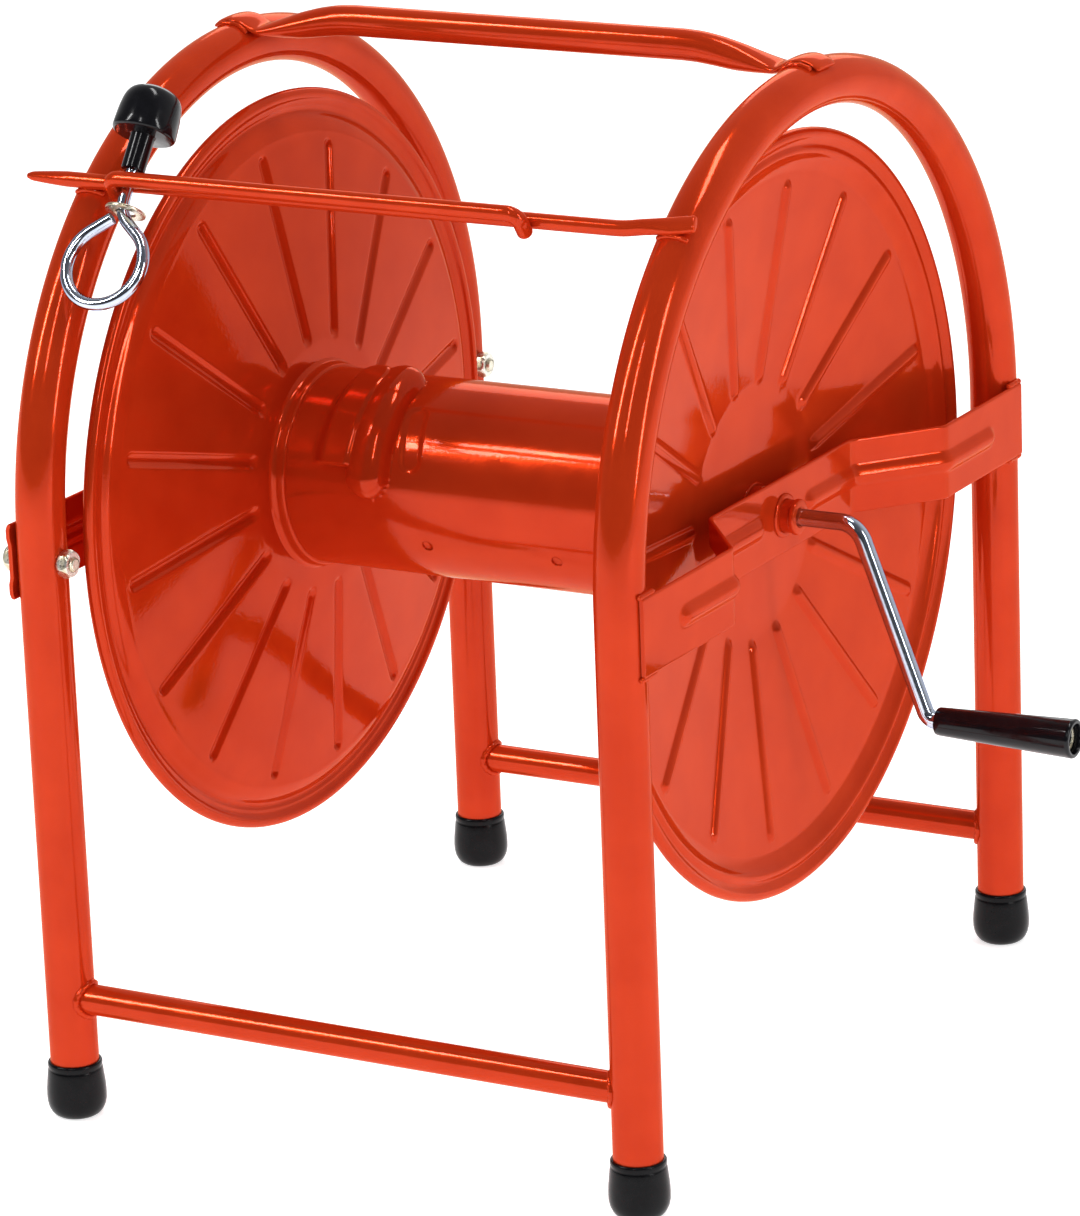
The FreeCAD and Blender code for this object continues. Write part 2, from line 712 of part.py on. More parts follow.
def guide_eye():
    """Wire stem bent into a closed drop-shaped eye."""
    up = (stem_point(1) - stem_point(0)).normalize()
    centre = stem_point(-EYE_DROP)

    def on_eye(angle):
        a = math.radians(angle)
        return centre + V(EYE_R * math.cos(a), 0, 0) + up * (EYE_R * math.sin(a))

    join = on_eye(EYE_JOIN)
    tangent = V(math.sin(math.radians(EYE_JOIN)), 0, 0) - up * math.cos(math.radians(EYE_JOIN))
    knee = join - tangent * ((join - stem_point(0)).x / tangent.x)
    shoulder = (join - knee).Length
    knee_top = knee + up * shoulder
    top = stem_point(WIRE_TOP)
    bisector = ((knee_top - knee).normalize() + (join - knee).normalize()).normalize()
    half = (knee_top - knee).getAngle(join - knee) / 2
    bend_centre = knee + bisector * (shoulder / math.cos(half))
    bend_middle = bend_centre - bisector * (shoulder * math.tan(half))
    leave = on_eye(EYE_END)
    leg = V(math.sin(math.radians(EYE_END)), 0, 0) - up * math.cos(math.radians(EYE_END))
    edges = [
        Part.LineSegment(top, knee_top).toShape(),
        Part.Arc(knee_top, bend_middle, join).toShape(),
        Part.Arc(join, on_eye(-90), leave).toShape(),
        Part.LineSegment(leave, leave + leg * EYE_LEG).toShape(),
    ]
    return swept_round(Part.Wire(edges), WIRE_R, top, up)


def guide_washer():
    """Loose washer under the slot, hanging on the bend of the wire."""
    low = stem_point(-WASHER_DROP - WASHER_T / 2, 0, STEM_X + WASHER_SHIFT)
    high = stem_point(-WASHER_DROP + WASHER_T / 2, 0, STEM_X + WASHER_SHIFT)
    return ring(WASHER_R, WASHER_HOLE_R, low, high)


def guide_knob():
    """Domed knob with a long neck, free to turn on the wire."""
    neck = [V(0, 0, KNOB_STEM_BOTTOM), V(KNOB_STEM_R, 0, KNOB_STEM_BOTTOM)]
    neck.append(V(KNOB_STEM_R, 0, KNOB_BOTTOM))
    neck.append(V(KNOB_R - KNOB_EDGE, 0, KNOB_BOTTOM))
    neck.append(V(KNOB_R, 0, KNOB_BOTTOM + KNOB_EDGE))
    neck.append(V(KNOB_R - KNOB_TAPER, 0, KNOB_TOP - KNOB_SHOULDER_DROP))
    lines = [Part.LineSegment(p, q).toShape() for p, q in zip(neck, neck[1:])]
    bend = V(KNOB_BEND_R, 0, KNOB_TOP - KNOB_BEND_DROP)
    crown = V(KNOB_CROWN_R, 0, KNOB_TOP - KNOB_CROWN_DROP)
    peak = V(0, 0, KNOB_TOP)
    lines.append(Part.Arc(neck[-1], bend, crown).toShape())
    lines.append(Part.LineSegment(crown, peak).toShape())
    lines.append(Part.LineSegment(peak, neck[0]).toShape())
    body = Part.Face(Part.Wire(lines)).revolve(V(0, 0, 0), AXIS_Z, 360)
    bore = rod(WIRE_R + RUNNING_GAP, V(0, 0, 0), V(0, 0, WIRE_TOP + END_PLAY))
    body = body.cut(bore)
    body.rotate(V(0, 0, 0), AXIS_X, -STEM_LEAN)
    body.translate(stem_point(0))
    return body


def main():
    os.makedirs("parts", exist_ok=True)
    write("left_arch_tube", left_arch_tube())
    write("right_arch_tube", arch_tube(FRAME_X))
    write("front_crossbar", crossbar(-LEG_Y))
    write("rear_crossbar", crossbar(LEG_Y))
    write("carry_handle", carry_handle())
    write("guide_rod", guide_rod())
    write("guide_slot_rod", guide_slot_rod())
    for name_x, x in (("left", -FRAME_X), ("right", FRAME_X)):
        for name_y, y in (("front", -LEG_Y), ("rear", LEG_Y)):
            write("foot_" + name_y + "_" + name_x, foot(x, y))
    write("left_bracket", bracket(-1, BOLTED_TAB_Y))
    write("right_bracket", bracket(1, WELDED_TAB_Y))
    write("bracket_bolts", bracket_bolts())
    write("bracket_nuts", bracket_nuts())
    write("left_bush", bush(-1))
    write("right_bush", bush(1))
    write("left_flange", flange(-1, LEFT_RIB_PHASE))
    write("right_flange", flange(1, RIGHT_RIB_PHASE))
    write("drum_tube", drum())
    write("left_hub_collar", hub_collar(-1))
    write("right_hub_collar", hub_collar(1))
    write("axle_tube", axle_tube())
    write("left_cross_pin", cross_pin(-1))
    write("right_cross_pin", cross_pin(1))
    write("axle_washer", axle_washer())
    write("axle_cotter", axle_cotter())
    write("crank_socket", crank_socket())
    write("crank_rod", crank_rod())
    write("grip_washer", grip_washer())
    write("crank_grip", crank_grip())
    write("guide_washer", guide_washer())
    write("guide_eye", guide_eye())
    write("guide_knob", guide_knob())


main()
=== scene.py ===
import json
import math
import random

import bmesh
import bpy
import numpy as np
from mathutils import Matrix, Vector


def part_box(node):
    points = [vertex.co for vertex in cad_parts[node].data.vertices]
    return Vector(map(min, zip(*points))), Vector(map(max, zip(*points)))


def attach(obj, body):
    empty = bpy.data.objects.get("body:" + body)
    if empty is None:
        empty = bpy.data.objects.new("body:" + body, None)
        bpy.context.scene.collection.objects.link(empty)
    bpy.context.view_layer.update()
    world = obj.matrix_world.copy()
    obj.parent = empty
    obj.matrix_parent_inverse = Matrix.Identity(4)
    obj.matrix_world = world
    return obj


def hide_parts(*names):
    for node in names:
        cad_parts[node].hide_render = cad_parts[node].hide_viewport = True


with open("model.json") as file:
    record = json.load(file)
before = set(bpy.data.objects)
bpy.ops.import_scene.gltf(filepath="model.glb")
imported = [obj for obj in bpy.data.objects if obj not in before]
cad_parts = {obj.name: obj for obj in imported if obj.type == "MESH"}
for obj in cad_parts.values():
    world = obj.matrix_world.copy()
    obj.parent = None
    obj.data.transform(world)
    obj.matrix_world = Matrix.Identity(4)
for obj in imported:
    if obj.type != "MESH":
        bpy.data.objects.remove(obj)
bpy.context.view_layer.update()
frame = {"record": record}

# Looks of the hand-cranked hose reel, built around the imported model.
# Lengths are in millimetres until piece() turns them into metres.

MM = 0.001
scene = bpy.context.scene
RECORD = frame["record"]
JOINTS = {j["name"]: j for j in RECORD["behaviour"]["joints"]}


def corners(node):
    """Lowest and highest corner of a CAD node in millimetres."""
    low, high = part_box(node)
    return np.array(low) / MM, np.array(high) / MM


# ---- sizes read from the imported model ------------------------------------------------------

arch_low, arch_high = corners("right_arch_tube")
FRAME_X = (arch_low[0] + arch_high[0]) / 2
TUBE_R = (arch_high[0] - arch_low[0]) / 2
LEG_Y = arch_high[1] - TUBE_R
ARCH_Z = arch_high[2] - TUBE_R - LEG_Y
LEG_FOOT = arch_low[2]
bar_low, bar_high = corners("front_crossbar")
BAR_R = (bar_high[2] - bar_low[2]) / 2
BAR_Z = (bar_high[2] + bar_low[2]) / 2
DRUM_Z = JOINTS["reel_spin"]["pos_m"][2] / MM
drum_high = corners("drum_tube")[1]
DRUM_R = drum_high[1]
DRUM_X = drum_high[0]
flange_high = corners("right_flange")[1]
FLANGE_R = flange_high[2] - DRUM_Z
CREST_X = flange_high[0]
HUB_X = corners("right_hub_collar")[0][0]
SHEET = HUB_X - DRUM_X
CRANK_Z = JOINTS["grip_spin"]["pos_m"][2] / MM
GUIDE = np.array(JOINTS["guide_turn"]["pos_m"]) / MM
GUIDE_UP = np.array(JOINTS["guide_turn"]["axis"])
GUIDE_OUT = np.array([0.0, -GUIDE_UP[2], GUIDE_UP[1]])
BORE_R = 8.6
STRIP_T = 2.3
STRIP_FACE = FRAME_X + TUBE_R + STRIP_T
MID_FACE = 146.5
RIB_COUNT = 16
CLIP_XS = (-38.5, 38.5)
CLIP_ARC = -153.0
CLIP_R = 3.0
X = np.array([1.0, 0.0, 0.0])
Y = np.array([0.0, 1.0, 0.0])
Z = np.array([0.0, 0.0, 1.0])


# ---- mesh helpers --------------------------------------------------------------------------


def unit(v):
    return np.asarray(v, float) / np.linalg.norm(v)


def smooth(t):
    """Smooth step of an array or number, from 0 to 1."""
    t = np.clip(t, 0.0, 1.0)
    return t * t * (3 - 2 * t)


def rounded(points, radii, step=9.0, closed=False):
    """Polyline with an arc at each corner."""
    pts = [np.array(p, float) for p in points]
    count = len(pts)
    if np.isscalar(radii):
        radii = [radii] * count
    out = []
    for i, p in enumerate(pts):
        if radii[i] <= 0 or (not closed and i in (0, count - 1)):
            out.append(p)
            continue
        a, b = pts[i - 1] - p, pts[(i + 1) % count] - p
        reach = 0.49 * min(np.linalg.norm(a), np.linalg.norm(b))
        a, b = unit(a), unit(b)
        half = math.acos(float(np.clip(a @ b, -1, 1))) / 2
        if half > math.pi / 2 - 0.002:
            out.append(p)
            continue
        leg = min(radii[i] / math.tan(half), reach)
        radius = leg * math.tan(half)
        centre = p + unit(a + b) * (radius / math.sin(half))
        start, end = p + a * leg - centre, p + b * leg - centre
        turn = math.pi - 2 * half
        parts = max(2, math.ceil(math.degrees(turn) / step))
        for k in range(parts + 1):
            t = k / parts
            w0 = math.sin((1 - t) * turn) / math.sin(turn)
            w1 = math.sin(t * turn) / math.sin(turn)
            out.append(centre + start * w0 + end * w1)
    return out


def even(points, spacing):
    """Add points along a polyline so that no run is longer than the spacing."""
    out = [np.array(points[0], float)]
    for p, q in zip(points, points[1:]):
        p, q = np.array(p, float), np.array(q, float)
        parts = max(1, math.ceil(np.linalg.norm(q - p) / spacing))
        out += [p + (q - p) * k / parts for k in range(1, parts + 1)]
    return out


def grid_faces(nu, nv, wrap_u=False, wrap_v=False):
    """Quads of a grid of nu by nv points."""
    u = np.arange(nu if wrap_u else nu - 1)
    v = np.arange(nv if wrap_v else nv - 1)
    a, b = np.meshgrid(u, v, indexing="ij")
    a2, b2 = (a + 1) % nu, (b + 1) % nv
    quads = np.stack([a * nv + b, a2 * nv + b, a2 * nv + b2, a * nv + b2], -1)
    return quads.reshape(-1, 4)


def grid(points, wrap_u=False, wrap_v=False):
    """(points, faces) of one grid."""
    points = np.asarray(points, float)
    nu, nv = points.shape[:2]
    return points.reshape(-1, 3), grid_faces(nu, nv, wrap_u, wrap_v)


def joined(parts):
    """Several (points, faces) as one."""
    points, faces, base = [], [], 0
    for p, f in parts:
        points.append(p)
        faces.append(f + base)
        base += len(p)
    return np.vstack(points), np.vstack(faces)


def turn(profile, centre, axis, segments=96, closed=False):
    """Turned body from (along, radius) points about an axis."""
    axis = unit(axis)
    side = unit(np.cross(axis, Z if abs(axis[2]) < 0.9 else X))
    other = np.cross(axis, side)
    angles = np.linspace(0, 2 * math.pi, segments, endpoint=False)
    around = np.cos(angles)[:, None] * side + np.sin(angles)[:, None] * other
    prof = np.array(profile, float)
    pts = np.asarray(centre) + prof[:, 0, None, None] * axis + prof[:, 1, None, None] * around
    return grid(pts, closed, True)


def frames(path, up):
    """Side and up directions along a path, carried without twist."""
    path = np.asarray(path, float)
    tangent = np.gradient(path, axis=0)
    tangent /= np.linalg.norm(tangent, axis=1)[:, None]
    sides, ups = [], []
    up = np.asarray(up, float)
    for t in tangent:
        up = unit(up - t * (up @ t))
        ups.append(up)
        sides.append(np.cross(t, up))
    return tangent, np.array(sides), np.array(ups)


def end_rows(at, out, side, up, half_w, half_h, edge):
    """Rows of a sweep that round one end off by the edge radius and close it."""
    steps = 7
    bend = [math.pi / 2 * k / steps for k in range(1, steps + 1)]
    places = [at + out * edge * math.sin(a) for a in bend]
    shrink = [edge * (1 - math.cos(a)) for a in bend]
    widths = [max(half_w - cut, 0.0) for cut in shrink] + [0.0]
    heights = [max(half_h - cut, 0.0) for cut in shrink] + [0.0]
    places.append(places[-1])
    count = len(places)
    rows = (places, [side] * count, [up] * count, widths, heights)
    return [np.array(row) for row in rows]


def sweep(path, half_w, half_h=None, up=Z, segments=40, ends=(0.0, 0.0), closed=False,
          power=2.0):
    """Bar along a path.  Half width and height may change along it; ends are rounded."""
    path = np.asarray(path, float)
    count = len(path)
    half_w = np.broadcast_to(np.asarray(half_w, float), count).copy()
    half_h = half_w.copy() if half_h is None else np.broadcast_to(
        np.asarray(half_h, float), count).copy()
    if closed:
        looped = np.vstack([path[-1:], path, path[:1]])
        _, side, ups = frames(looped, up)
        rows = [path, side[1:-1], ups[1:-1], half_w, half_h]
    else:
        tangent, side, ups = frames(path, up)
        rows = [path, side, ups, half_w, half_h]
        first = end_rows(path[0], -tangent[0], side[0], ups[0], half_w[0], half_h[0], ends[0])
        last = end_rows(path[-1], tangent[-1], side[-1], ups[-1], half_w[-1], half_h[-1], ends[1])
        rows = [np.concatenate([a[::-1], b, c]) for a, b, c in zip(first, rows, last)]
    path, side, ups, half_w, half_h = rows
    angles = np.linspace(0, 2 * math.pi, segments, endpoint=False)
    c, s = np.cos(angles), np.sin(angles)
    c = np.sign(c) * np.abs(c) ** (2 / power)
    s = np.sign(s) * np.abs(s) ** (2 / power)
    pts = (path[:, None, :] + side[:, None, :] * (half_w[:, None] * c)[:, :, None]
           + ups[:, None, :] * (half_h[:, None] * s)[:, :, None])
    return grid(pts, closed, True)


def piece(name, parts, material, body, stands_for=(), sharp=38.0, merge=0.004):
    """One finished mesh object from (points, faces) parts in millimetres."""
    points, faces = joined(parts)
    mesh = bpy.data.meshes.new(name)
    mesh.from_pydata((points * MM).tolist(), [], faces.tolist())
    bm = bmesh.new()
    bm.from_mesh(mesh)
    bmesh.ops.remove_doubles(bm, verts=bm.verts, dist=merge * MM)
    bmesh.ops.dissolve_degenerate(bm, edges=bm.edges, dist=1e-7)
    bmesh.ops.recalc_face_normals(bm, faces=bm.faces)
    bm.to_mesh(mesh)
    bm.free()
    mesh.materials.append(material)
    mesh.shade_smooth()
    mesh.set_sharp_from_angle(angle=math.radians(sharp))
    obj = bpy.data.objects.new(name, mesh)
    scene.collection.objects.link(obj)
    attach(obj, body)
    if stands_for:
        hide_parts(*stands_for)
    return obj


# ---- materials -----------------------------------------------------------------------------


class Nodes:
    """Small wrapper that adds and links shader nodes."""

    def __init__(self, name):
        self.material = bpy.data.materials.new(name + "_look")
        self.material.use_nodes = True
        self.tree = self.material.node_tree
        self.shader = self.tree.nodes["Principled BSDF"]
        self.place = self.add("ShaderNodeTexCoord").outputs["Object"]

    def add(self, kind, **values):
        node = self.tree.nodes.new(kind)
        for key, value in values.items():
            setattr(node, key, value)
        return node

    def link(self, start, end):
        self.tree.links.new(start, end)

    def set(self, **values):
        for key, value in values.items():
            self.shader.inputs[key.replace("_", " ")].default_value = value

    def noise(self, scale, detail=3.0, stretch=(1, 1, 1)):
        """Noise value; scale is in features per metre."""
        mapping = self.add("ShaderNodeMapping")
        mapping.inputs["Scale"].default_value = stretch
        self.link(self.place, mapping.inputs["Vector"])
        node = self.add("ShaderNodeTexNoise")
        node.inputs["Scale"].default_value = scale
        node.inputs["Detail"].default_value = detail
        self.link(mapping.outputs["Vector"], node.inputs["Vector"])
        return node.outputs["Fac"]

    def ramp(self, value, stops):
        """Colour ramp; stops are (position, colour)."""
        node = self.add("ShaderNodeValToRGB")
        elements = node.color_ramp.elements
        while len(elements) < len(stops):
            elements.new(0.5)
        for element, (position, colour) in zip(elements, stops):
            element.position = position
            element.color = colour + (1.0,)
        self.link(value, node.inputs["Fac"])
        return node.outputs["Color"]

    def spread(self, value, low, high, start=0.3, end=0.7):
        """Value mapped from start..end to low..high."""
        node = self.add("ShaderNodeMapRange")
        node.inputs["From Min"].default_value = start
        node.inputs["From Max"].default_value = end
        node.inputs["To Min"].default_value = low
        node.inputs["To Max"].default_value = high
        self.link(value, node.inputs["Value"])
        return node.outputs["Result"]

    def mix(self, factor, socket, colour):
        """A socket's colour, mixed towards a fixed colour."""
        node = self.add("ShaderNodeMix", data_type="RGBA")
        self.link(factor, node.inputs[0])
        self.link(socket, node.inputs[6])
        node.inputs[7].default_value = colour + (1.0,)
        return node.outputs[2]

    def edge_wear(self, low, high):
        """1 on convex edges, 0 on flats."""
        pointy = self.add("ShaderNodeNewGeometry").outputs["Pointiness"]
        return self.spread(pointy, 0.0, 1.0, low, high)

    def bump(self, height, strength, distance, before=None):
        """Bumped normal, laid over another one where it is given."""
        node = self.add("ShaderNodeBump")
        node.inputs["Strength"].default_value = strength
        node.inputs["Distance"].default_value = distance
        self.link(height, node.inputs["Height"])
        if before is not None:
            self.link(before, node.inputs["Normal"])
        return node.outputs["Normal"]


def paint():
    """Glossy orange-red enamel: soft orange peel, faint mottling, thin on sharp edges."""
    n = Nodes("red_paint")
    mottle = n.ramp(n.noise(34, 4), [(0.3, (0.52, 0.034, 0.006)), (0.7, (0.58, 0.042, 0.008))])
    specks = n.spread(n.noise(1500, 2), 0.0, 0.12, 0.68, 0.76)
    colour = n.mix(specks, mottle, (0.64, 0.075, 0.02))
    colour = n.mix(n.edge_wear(0.56, 0.70), colour, (0.66, 0.08, 0.02))
    n.link(colour, n.shader.inputs["Base Color"])
    n.link(n.spread(n.noise(60, 3), 0.10, 0.17), n.shader.inputs["Roughness"])
    n.set(Metallic=0.36, Specular_IOR_Level=0.0, Specular_Tint=(1.0, 0.58, 0.14, 1.0))
    n.set(Coat_Weight=0.22, Coat_Roughness=0.02, Coat_IOR=1.5)
    peel = n.bump(n.noise(420, 2), 0.05, 0.0006)
    n.link(n.bump(n.noise(2600, 1), 0.02, 0.0001, peel), n.shader.inputs["Normal"])
    n.link(peel, n.shader.inputs["Coat Normal"])
    return n.material


def chrome():
    """Bright plated wire with faint drawing lines; its darkened, blue-tinted base colour and blue
    edge tint are painted reflection of blue-grey surroundings.
    """
    n = Nodes("chrome")
    # painted reflection: base colour kept darker and bluer than bare chrome, standing in for the
    # blue-grey surroundings and dark bands the wire mirrors
    tint = n.ramp(n.noise(120, 3), [(0.3, (0.50, 0.55, 0.66)), (0.7, (0.62, 0.66, 0.75))])
    n.link(tint, n.shader.inputs["Base Color"])
    n.link(n.spread(n.noise(300, 4), 0.06, 0.16), n.shader.inputs["Roughness"])
    # painted reflection: the blue edge tint also stands in for reflected blue-grey surroundings
    n.set(Metallic=1.0, Specular_Tint=(0.18, 0.24, 0.38, 1.0))
    n.link(n.bump(n.noise(900, 2), 0.08, 0.0002), n.shader.inputs["Normal"])
    return n.material


def zinc():
    """Yellow-passivated zinc on the fasteners."""
    n = Nodes("zinc_steel")
    tint = n.ramp(n.noise(260, 4), [(0.3, (0.52, 0.42, 0.24)), (0.5, (0.66, 0.60, 0.44)),
                                    (0.7, (0.74, 0.70, 0.62))])
    worn = n.mix(n.edge_wear(0.53, 0.62), tint, (0.82, 0.81, 0.78))
    n.link(worn, n.shader.inputs["Base Color"])
    n.link(n.spread(n.noise(700, 4), 0.2, 0.42), n.shader.inputs["Roughness"])
    n.set(Metallic=1.0)
    n.link(n.bump(n.noise(1400, 3), 0.12, 0.0002), n.shader.inputs["Normal"])
    return n.material


def black_plastic():
    """Moulded glossy black plastic with slight flow waviness and scuffs."""
    n = Nodes("black_plastic")
    tint = n.ramp(n.noise(90, 4), [(0.3, (0.003, 0.003, 0.004)), (0.7, (0.007, 0.007, 0.009))])
    scuff = n.spread(n.noise(700, 3, (1, 6, 6)), 0.0, 0.2, 0.64, 0.74)
    n.link(n.mix(scuff, tint, (0.02, 0.02, 0.022)), n.shader.inputs["Base Color"])
    n.link(n.spread(n.noise(240, 3), 0.10, 0.22), n.shader.inputs["Roughness"])
    n.set(Coat_Weight=0.15, Coat_Roughness=0.04, Specular_IOR_Level=0.2)
    n.link(n.bump(n.noise(260, 2), 0.10, 0.0004), n.shader.inputs["Normal"])
    return n.material


def foot_rubber():
    """Satin black rubber with a fine grain and dust near the floor."""
    n = Nodes("foot_rubber")
    tint = n.ramp(n.noise(160, 5), [(0.3, (0.002, 0.002, 0.0025)), (0.7, (0.005, 0.005, 0.006))])
    split = n.add("ShaderNodeSeparateXYZ")
    n.link(n.place, split.inputs[0])
    low = n.spread(split.outputs["Z"], 0.3, 0.0, 0.0, 0.005)
    n.link(n.mix(low, tint, (0.03, 0.028, 0.026)), n.shader.inputs["Base Color"])
    n.link(n.spread(n.noise(500, 4), 0.16, 0.26), n.shader.inputs["Roughness"])
    n.set(Specular_IOR_Level=0.14)
    n.link(n.bump(n.noise(2200, 3), 0.25, 0.0002), n.shader.inputs["Normal"])
    return n.material


PAINT = paint()
CHROME = chrome()
ZINC = zinc()
PLASTIC = black_plastic()
RUBBER = foot_rubber()


# ---- stand ---------------------------------------------------------------------------------


def arch_line(x):
    """Centre line of one bent tube, from the front foot over the top to the rear foot."""
    legs = even([(x, -LEG_Y, LEG_FOOT + 0.4), (x, -LEG_Y, ARCH_Z)], 4.0)
    bow = [(x, -LEG_Y * math.cos(a), ARCH_Z + LEG_Y * math.sin(a))
           for a in np.linspace(0, math.pi, 181)[1:-1]]
    rear = even([(x, LEG_Y, ARCH_Z), (x, LEG_Y, LEG_FOOT + 0.4)], 4.0)
    return np.array(legs + bow + rear)


def arch(side, seats=()):
    """Round tube of one side; seats are (y, z, radius, depth) flats pressed on its inner side."""
    points, faces = sweep(arch_line(side * FRAME_X), TUBE_R, up=X, segments=64, ends=(0.4, 0.4))
    for y, z, radius, depth in seats:
        away = np.hypot(points[:, 1] - y, points[:, 2] - z)
        inner = (points[:, 0] * side - FRAME_X) < 0
        press = depth * smooth((radius * 1.55 - away) / (radius * 0.75)) * inner
        flat = FRAME_X - TUBE_R + depth
        along = np.minimum(flat - points[:, 0] * side, press)
        points[:, 0] += side * np.clip(along, 0, depth)
    return points, faces


def bead_line(centre, along, across, radius, tube_r, tube_axis, spread=0.0):
    """Closed curve where a round bar meets the side of a tube."""
    line = []
    for a in np.linspace(0, 2 * math.pi, 72, endpoint=False):
        off = unit(tube_axis) * math.cos(a) * (radius + spread)
        off = off + unit(across) * math.sin(a) * (radius + spread)
        depth = math.sqrt(max(tube_r ** 2 - ((radius + spread) * math.sin(a)) ** 2, 0.0))
        line.append(np.asarray(centre) + off + unit(along) * depth)
    return np.array(line)


def weld(line, size, closed=True, seed=1, flat=1.0):
    """Rippled weld bead along a line."""
    rng = random.Random(seed)
    count = len(line)
    phase = rng.random() * 6
    ripple = [1 + 0.10 * math.sin(i * 1.45 + phase) + 0.10 * (rng.random() - 0.5)
              for i in range(count)]
    r = size * np.array(ripple)
    return sweep(line, r, r * flat, up=Z, segments=12, closed=closed, ends=(size * 0.9,) * 2)


left_seats = [(y, DRUM_Z, 8.6, 0.8) for y in (-LEG_Y, LEG_Y)]
piece("left_stand_tube", [arch(-1, left_seats)], PAINT, "stand", ["left_arch_tube"])
piece("right_stand_tube", [arch(1)], PAINT, "stand", ["right_arch_tube"])

for name, y in (("front", -LEG_Y), ("rear", LEG_Y)):
    reach = FRAME_X - math.sqrt(TUBE_R ** 2 - BAR_R ** 2)
    line = even([(-reach, y, BAR_Z), (reach, y, BAR_Z)], 12.0)
    beads = []
    for k, side in enumerate((-1, 1)):
        ring = bead_line((side * FRAME_X, y, BAR_Z), (-side, 0, 0), Y, BAR_R, TUBE_R, Z, 0.9)
        beads.append(weld(ring, 1.7, seed=11 + k))
    piece(name + "_crossbar_tube", [sweep(line, BAR_R, segments=48)] + beads, PAINT, "stand",
          [name + "_crossbar"])


def foot(x, y):
    """Rubber ferrule with a soft lip, a bulge and a worn sole."""
    profile = [(0.0, 0.0), (0.0, 9.6), (0.5, 11.0), (1.6, 12.6), (3.2, 13.8), (5.6, 14.9),
               (8.6, 15.5), (12.0, 15.6), (15.5, 15.45), (19.0, 15.1), (22.5, 14.7),
               (25.0, 14.4), (26.0, 14.15), (26.5, 13.9), (27.0, 14.1), (28.2, 14.25),
               (29.2, 14.15), (29.8, 13.8), (30.0, 13.3), (29.9, 12.85), (29.3, TUBE_R + 0.05),
               (LEG_FOOT - 0.4, TUBE_R + 0.05), (LEG_FOOT - 0.4, 0.0)]
    return turn(profile, (x, y, 0.0), Z, 72)


for name_x, x in (("left", -FRAME_X), ("right", FRAME_X)):
    for name_y, y in (("front", -LEG_Y), ("rear", LEG_Y)):
        tag = name_y + "_" + name_x
        piece("ferrule_" + tag, [foot(x, y)], RUBBER, "stand", ["foot_" + tag], 50)


# ---- carrying handle -----------------------------------------------------------------------


def handle():
    """Tube whose ends drop, flatten and wrap over the tops of the arches."""
    top = corners("carry_handle")[1][2] - BAR_R
    arch_top = ARCH_Z + LEG_Y
    # (x, z of the centre, half width along Y, half thickness)
    stations = [(0, top, BAR_R, BAR_R), (96, top, BAR_R, BAR_R), (106, top - 0.5, 8.1, 7.9),
                (116, top - 2.0, 8.3, 7.6), (128, top - 4.4, 8.8, 6.8), (138, top - 6.2, 9.6, 5.2),
                (146, top - 7.4, 10.4, 3.7), (152, top - 8.2, 11.0, 2.6)]
    outer = TUBE_R + 1.9
    for angle in (126, 115, 104, 92, 80, 68, 57, 48):
        a = math.radians(angle)
        stations.append((FRAME_X + outer * math.cos(a), arch_top + outer * math.sin(a),
                         11.3 - 0.02 * (126 - angle), 1.65))
    knots = np.array(stations)
    length = np.concatenate([[0], np.cumsum(np.linalg.norm(np.diff(knots[:, :2], axis=0), axis=1))])
    fine = np.linspace(0, length[-1], 150)
    cols = [np.interp(fine, length, knots[:, k]) for k in range(4)]
    kernel = np.array([1, 2, 3, 4, 3, 2, 1]) / 16.0
    blended = (fine > 60) & (fine < length[-1] - 3)
    for k in range(4):
        softer = np.convolve(np.pad(cols[k], 3, mode="edge"), kernel, "valid")
        cols[k] = np.where(blended, softer, cols[k])
    x, z, w, h = cols
    path = [np.column_stack([-x[::-1], 0 * x, z[::-1]]), np.column_stack([x[1:], 0 * x[1:], z[1:]])]
    widths = np.concatenate([w[::-1], w[1:]])
    heights = np.concatenate([h[::-1], h[1:]])
    return sweep(np.vstack(path), widths, heights, up=Z, segments=64, ends=(1.2, 1.2), power=2.2)


def handle_welds():
    """Beads along both edges of each flattened end."""
    parts = []
    arch_top = ARCH_Z + LEG_Y
    for side in (-1, 1):
        for k, y in enumerate((-11.6, 11.6)):
            rise = math.sqrt(LEG_Y ** 2 - y ** 2) - LEG_Y
            line = []
            for angle in range(60, 136, 5):
                a = math.radians(angle)
                reach = TUBE_R + 0.7
                line.append((side * (FRAME_X + reach * math.cos(a)), y,
                             arch_top + rise + reach * math.sin(a)))
            parts.append(weld(np.array(line), 1.25, False, seed=20 + k + side))
    return parts


piece("carry_handle_tube", [handle()] + handle_welds(), PAINT, "stand", ["carry_handle"])


# ---- brackets ------------------------------------------------------------------------------


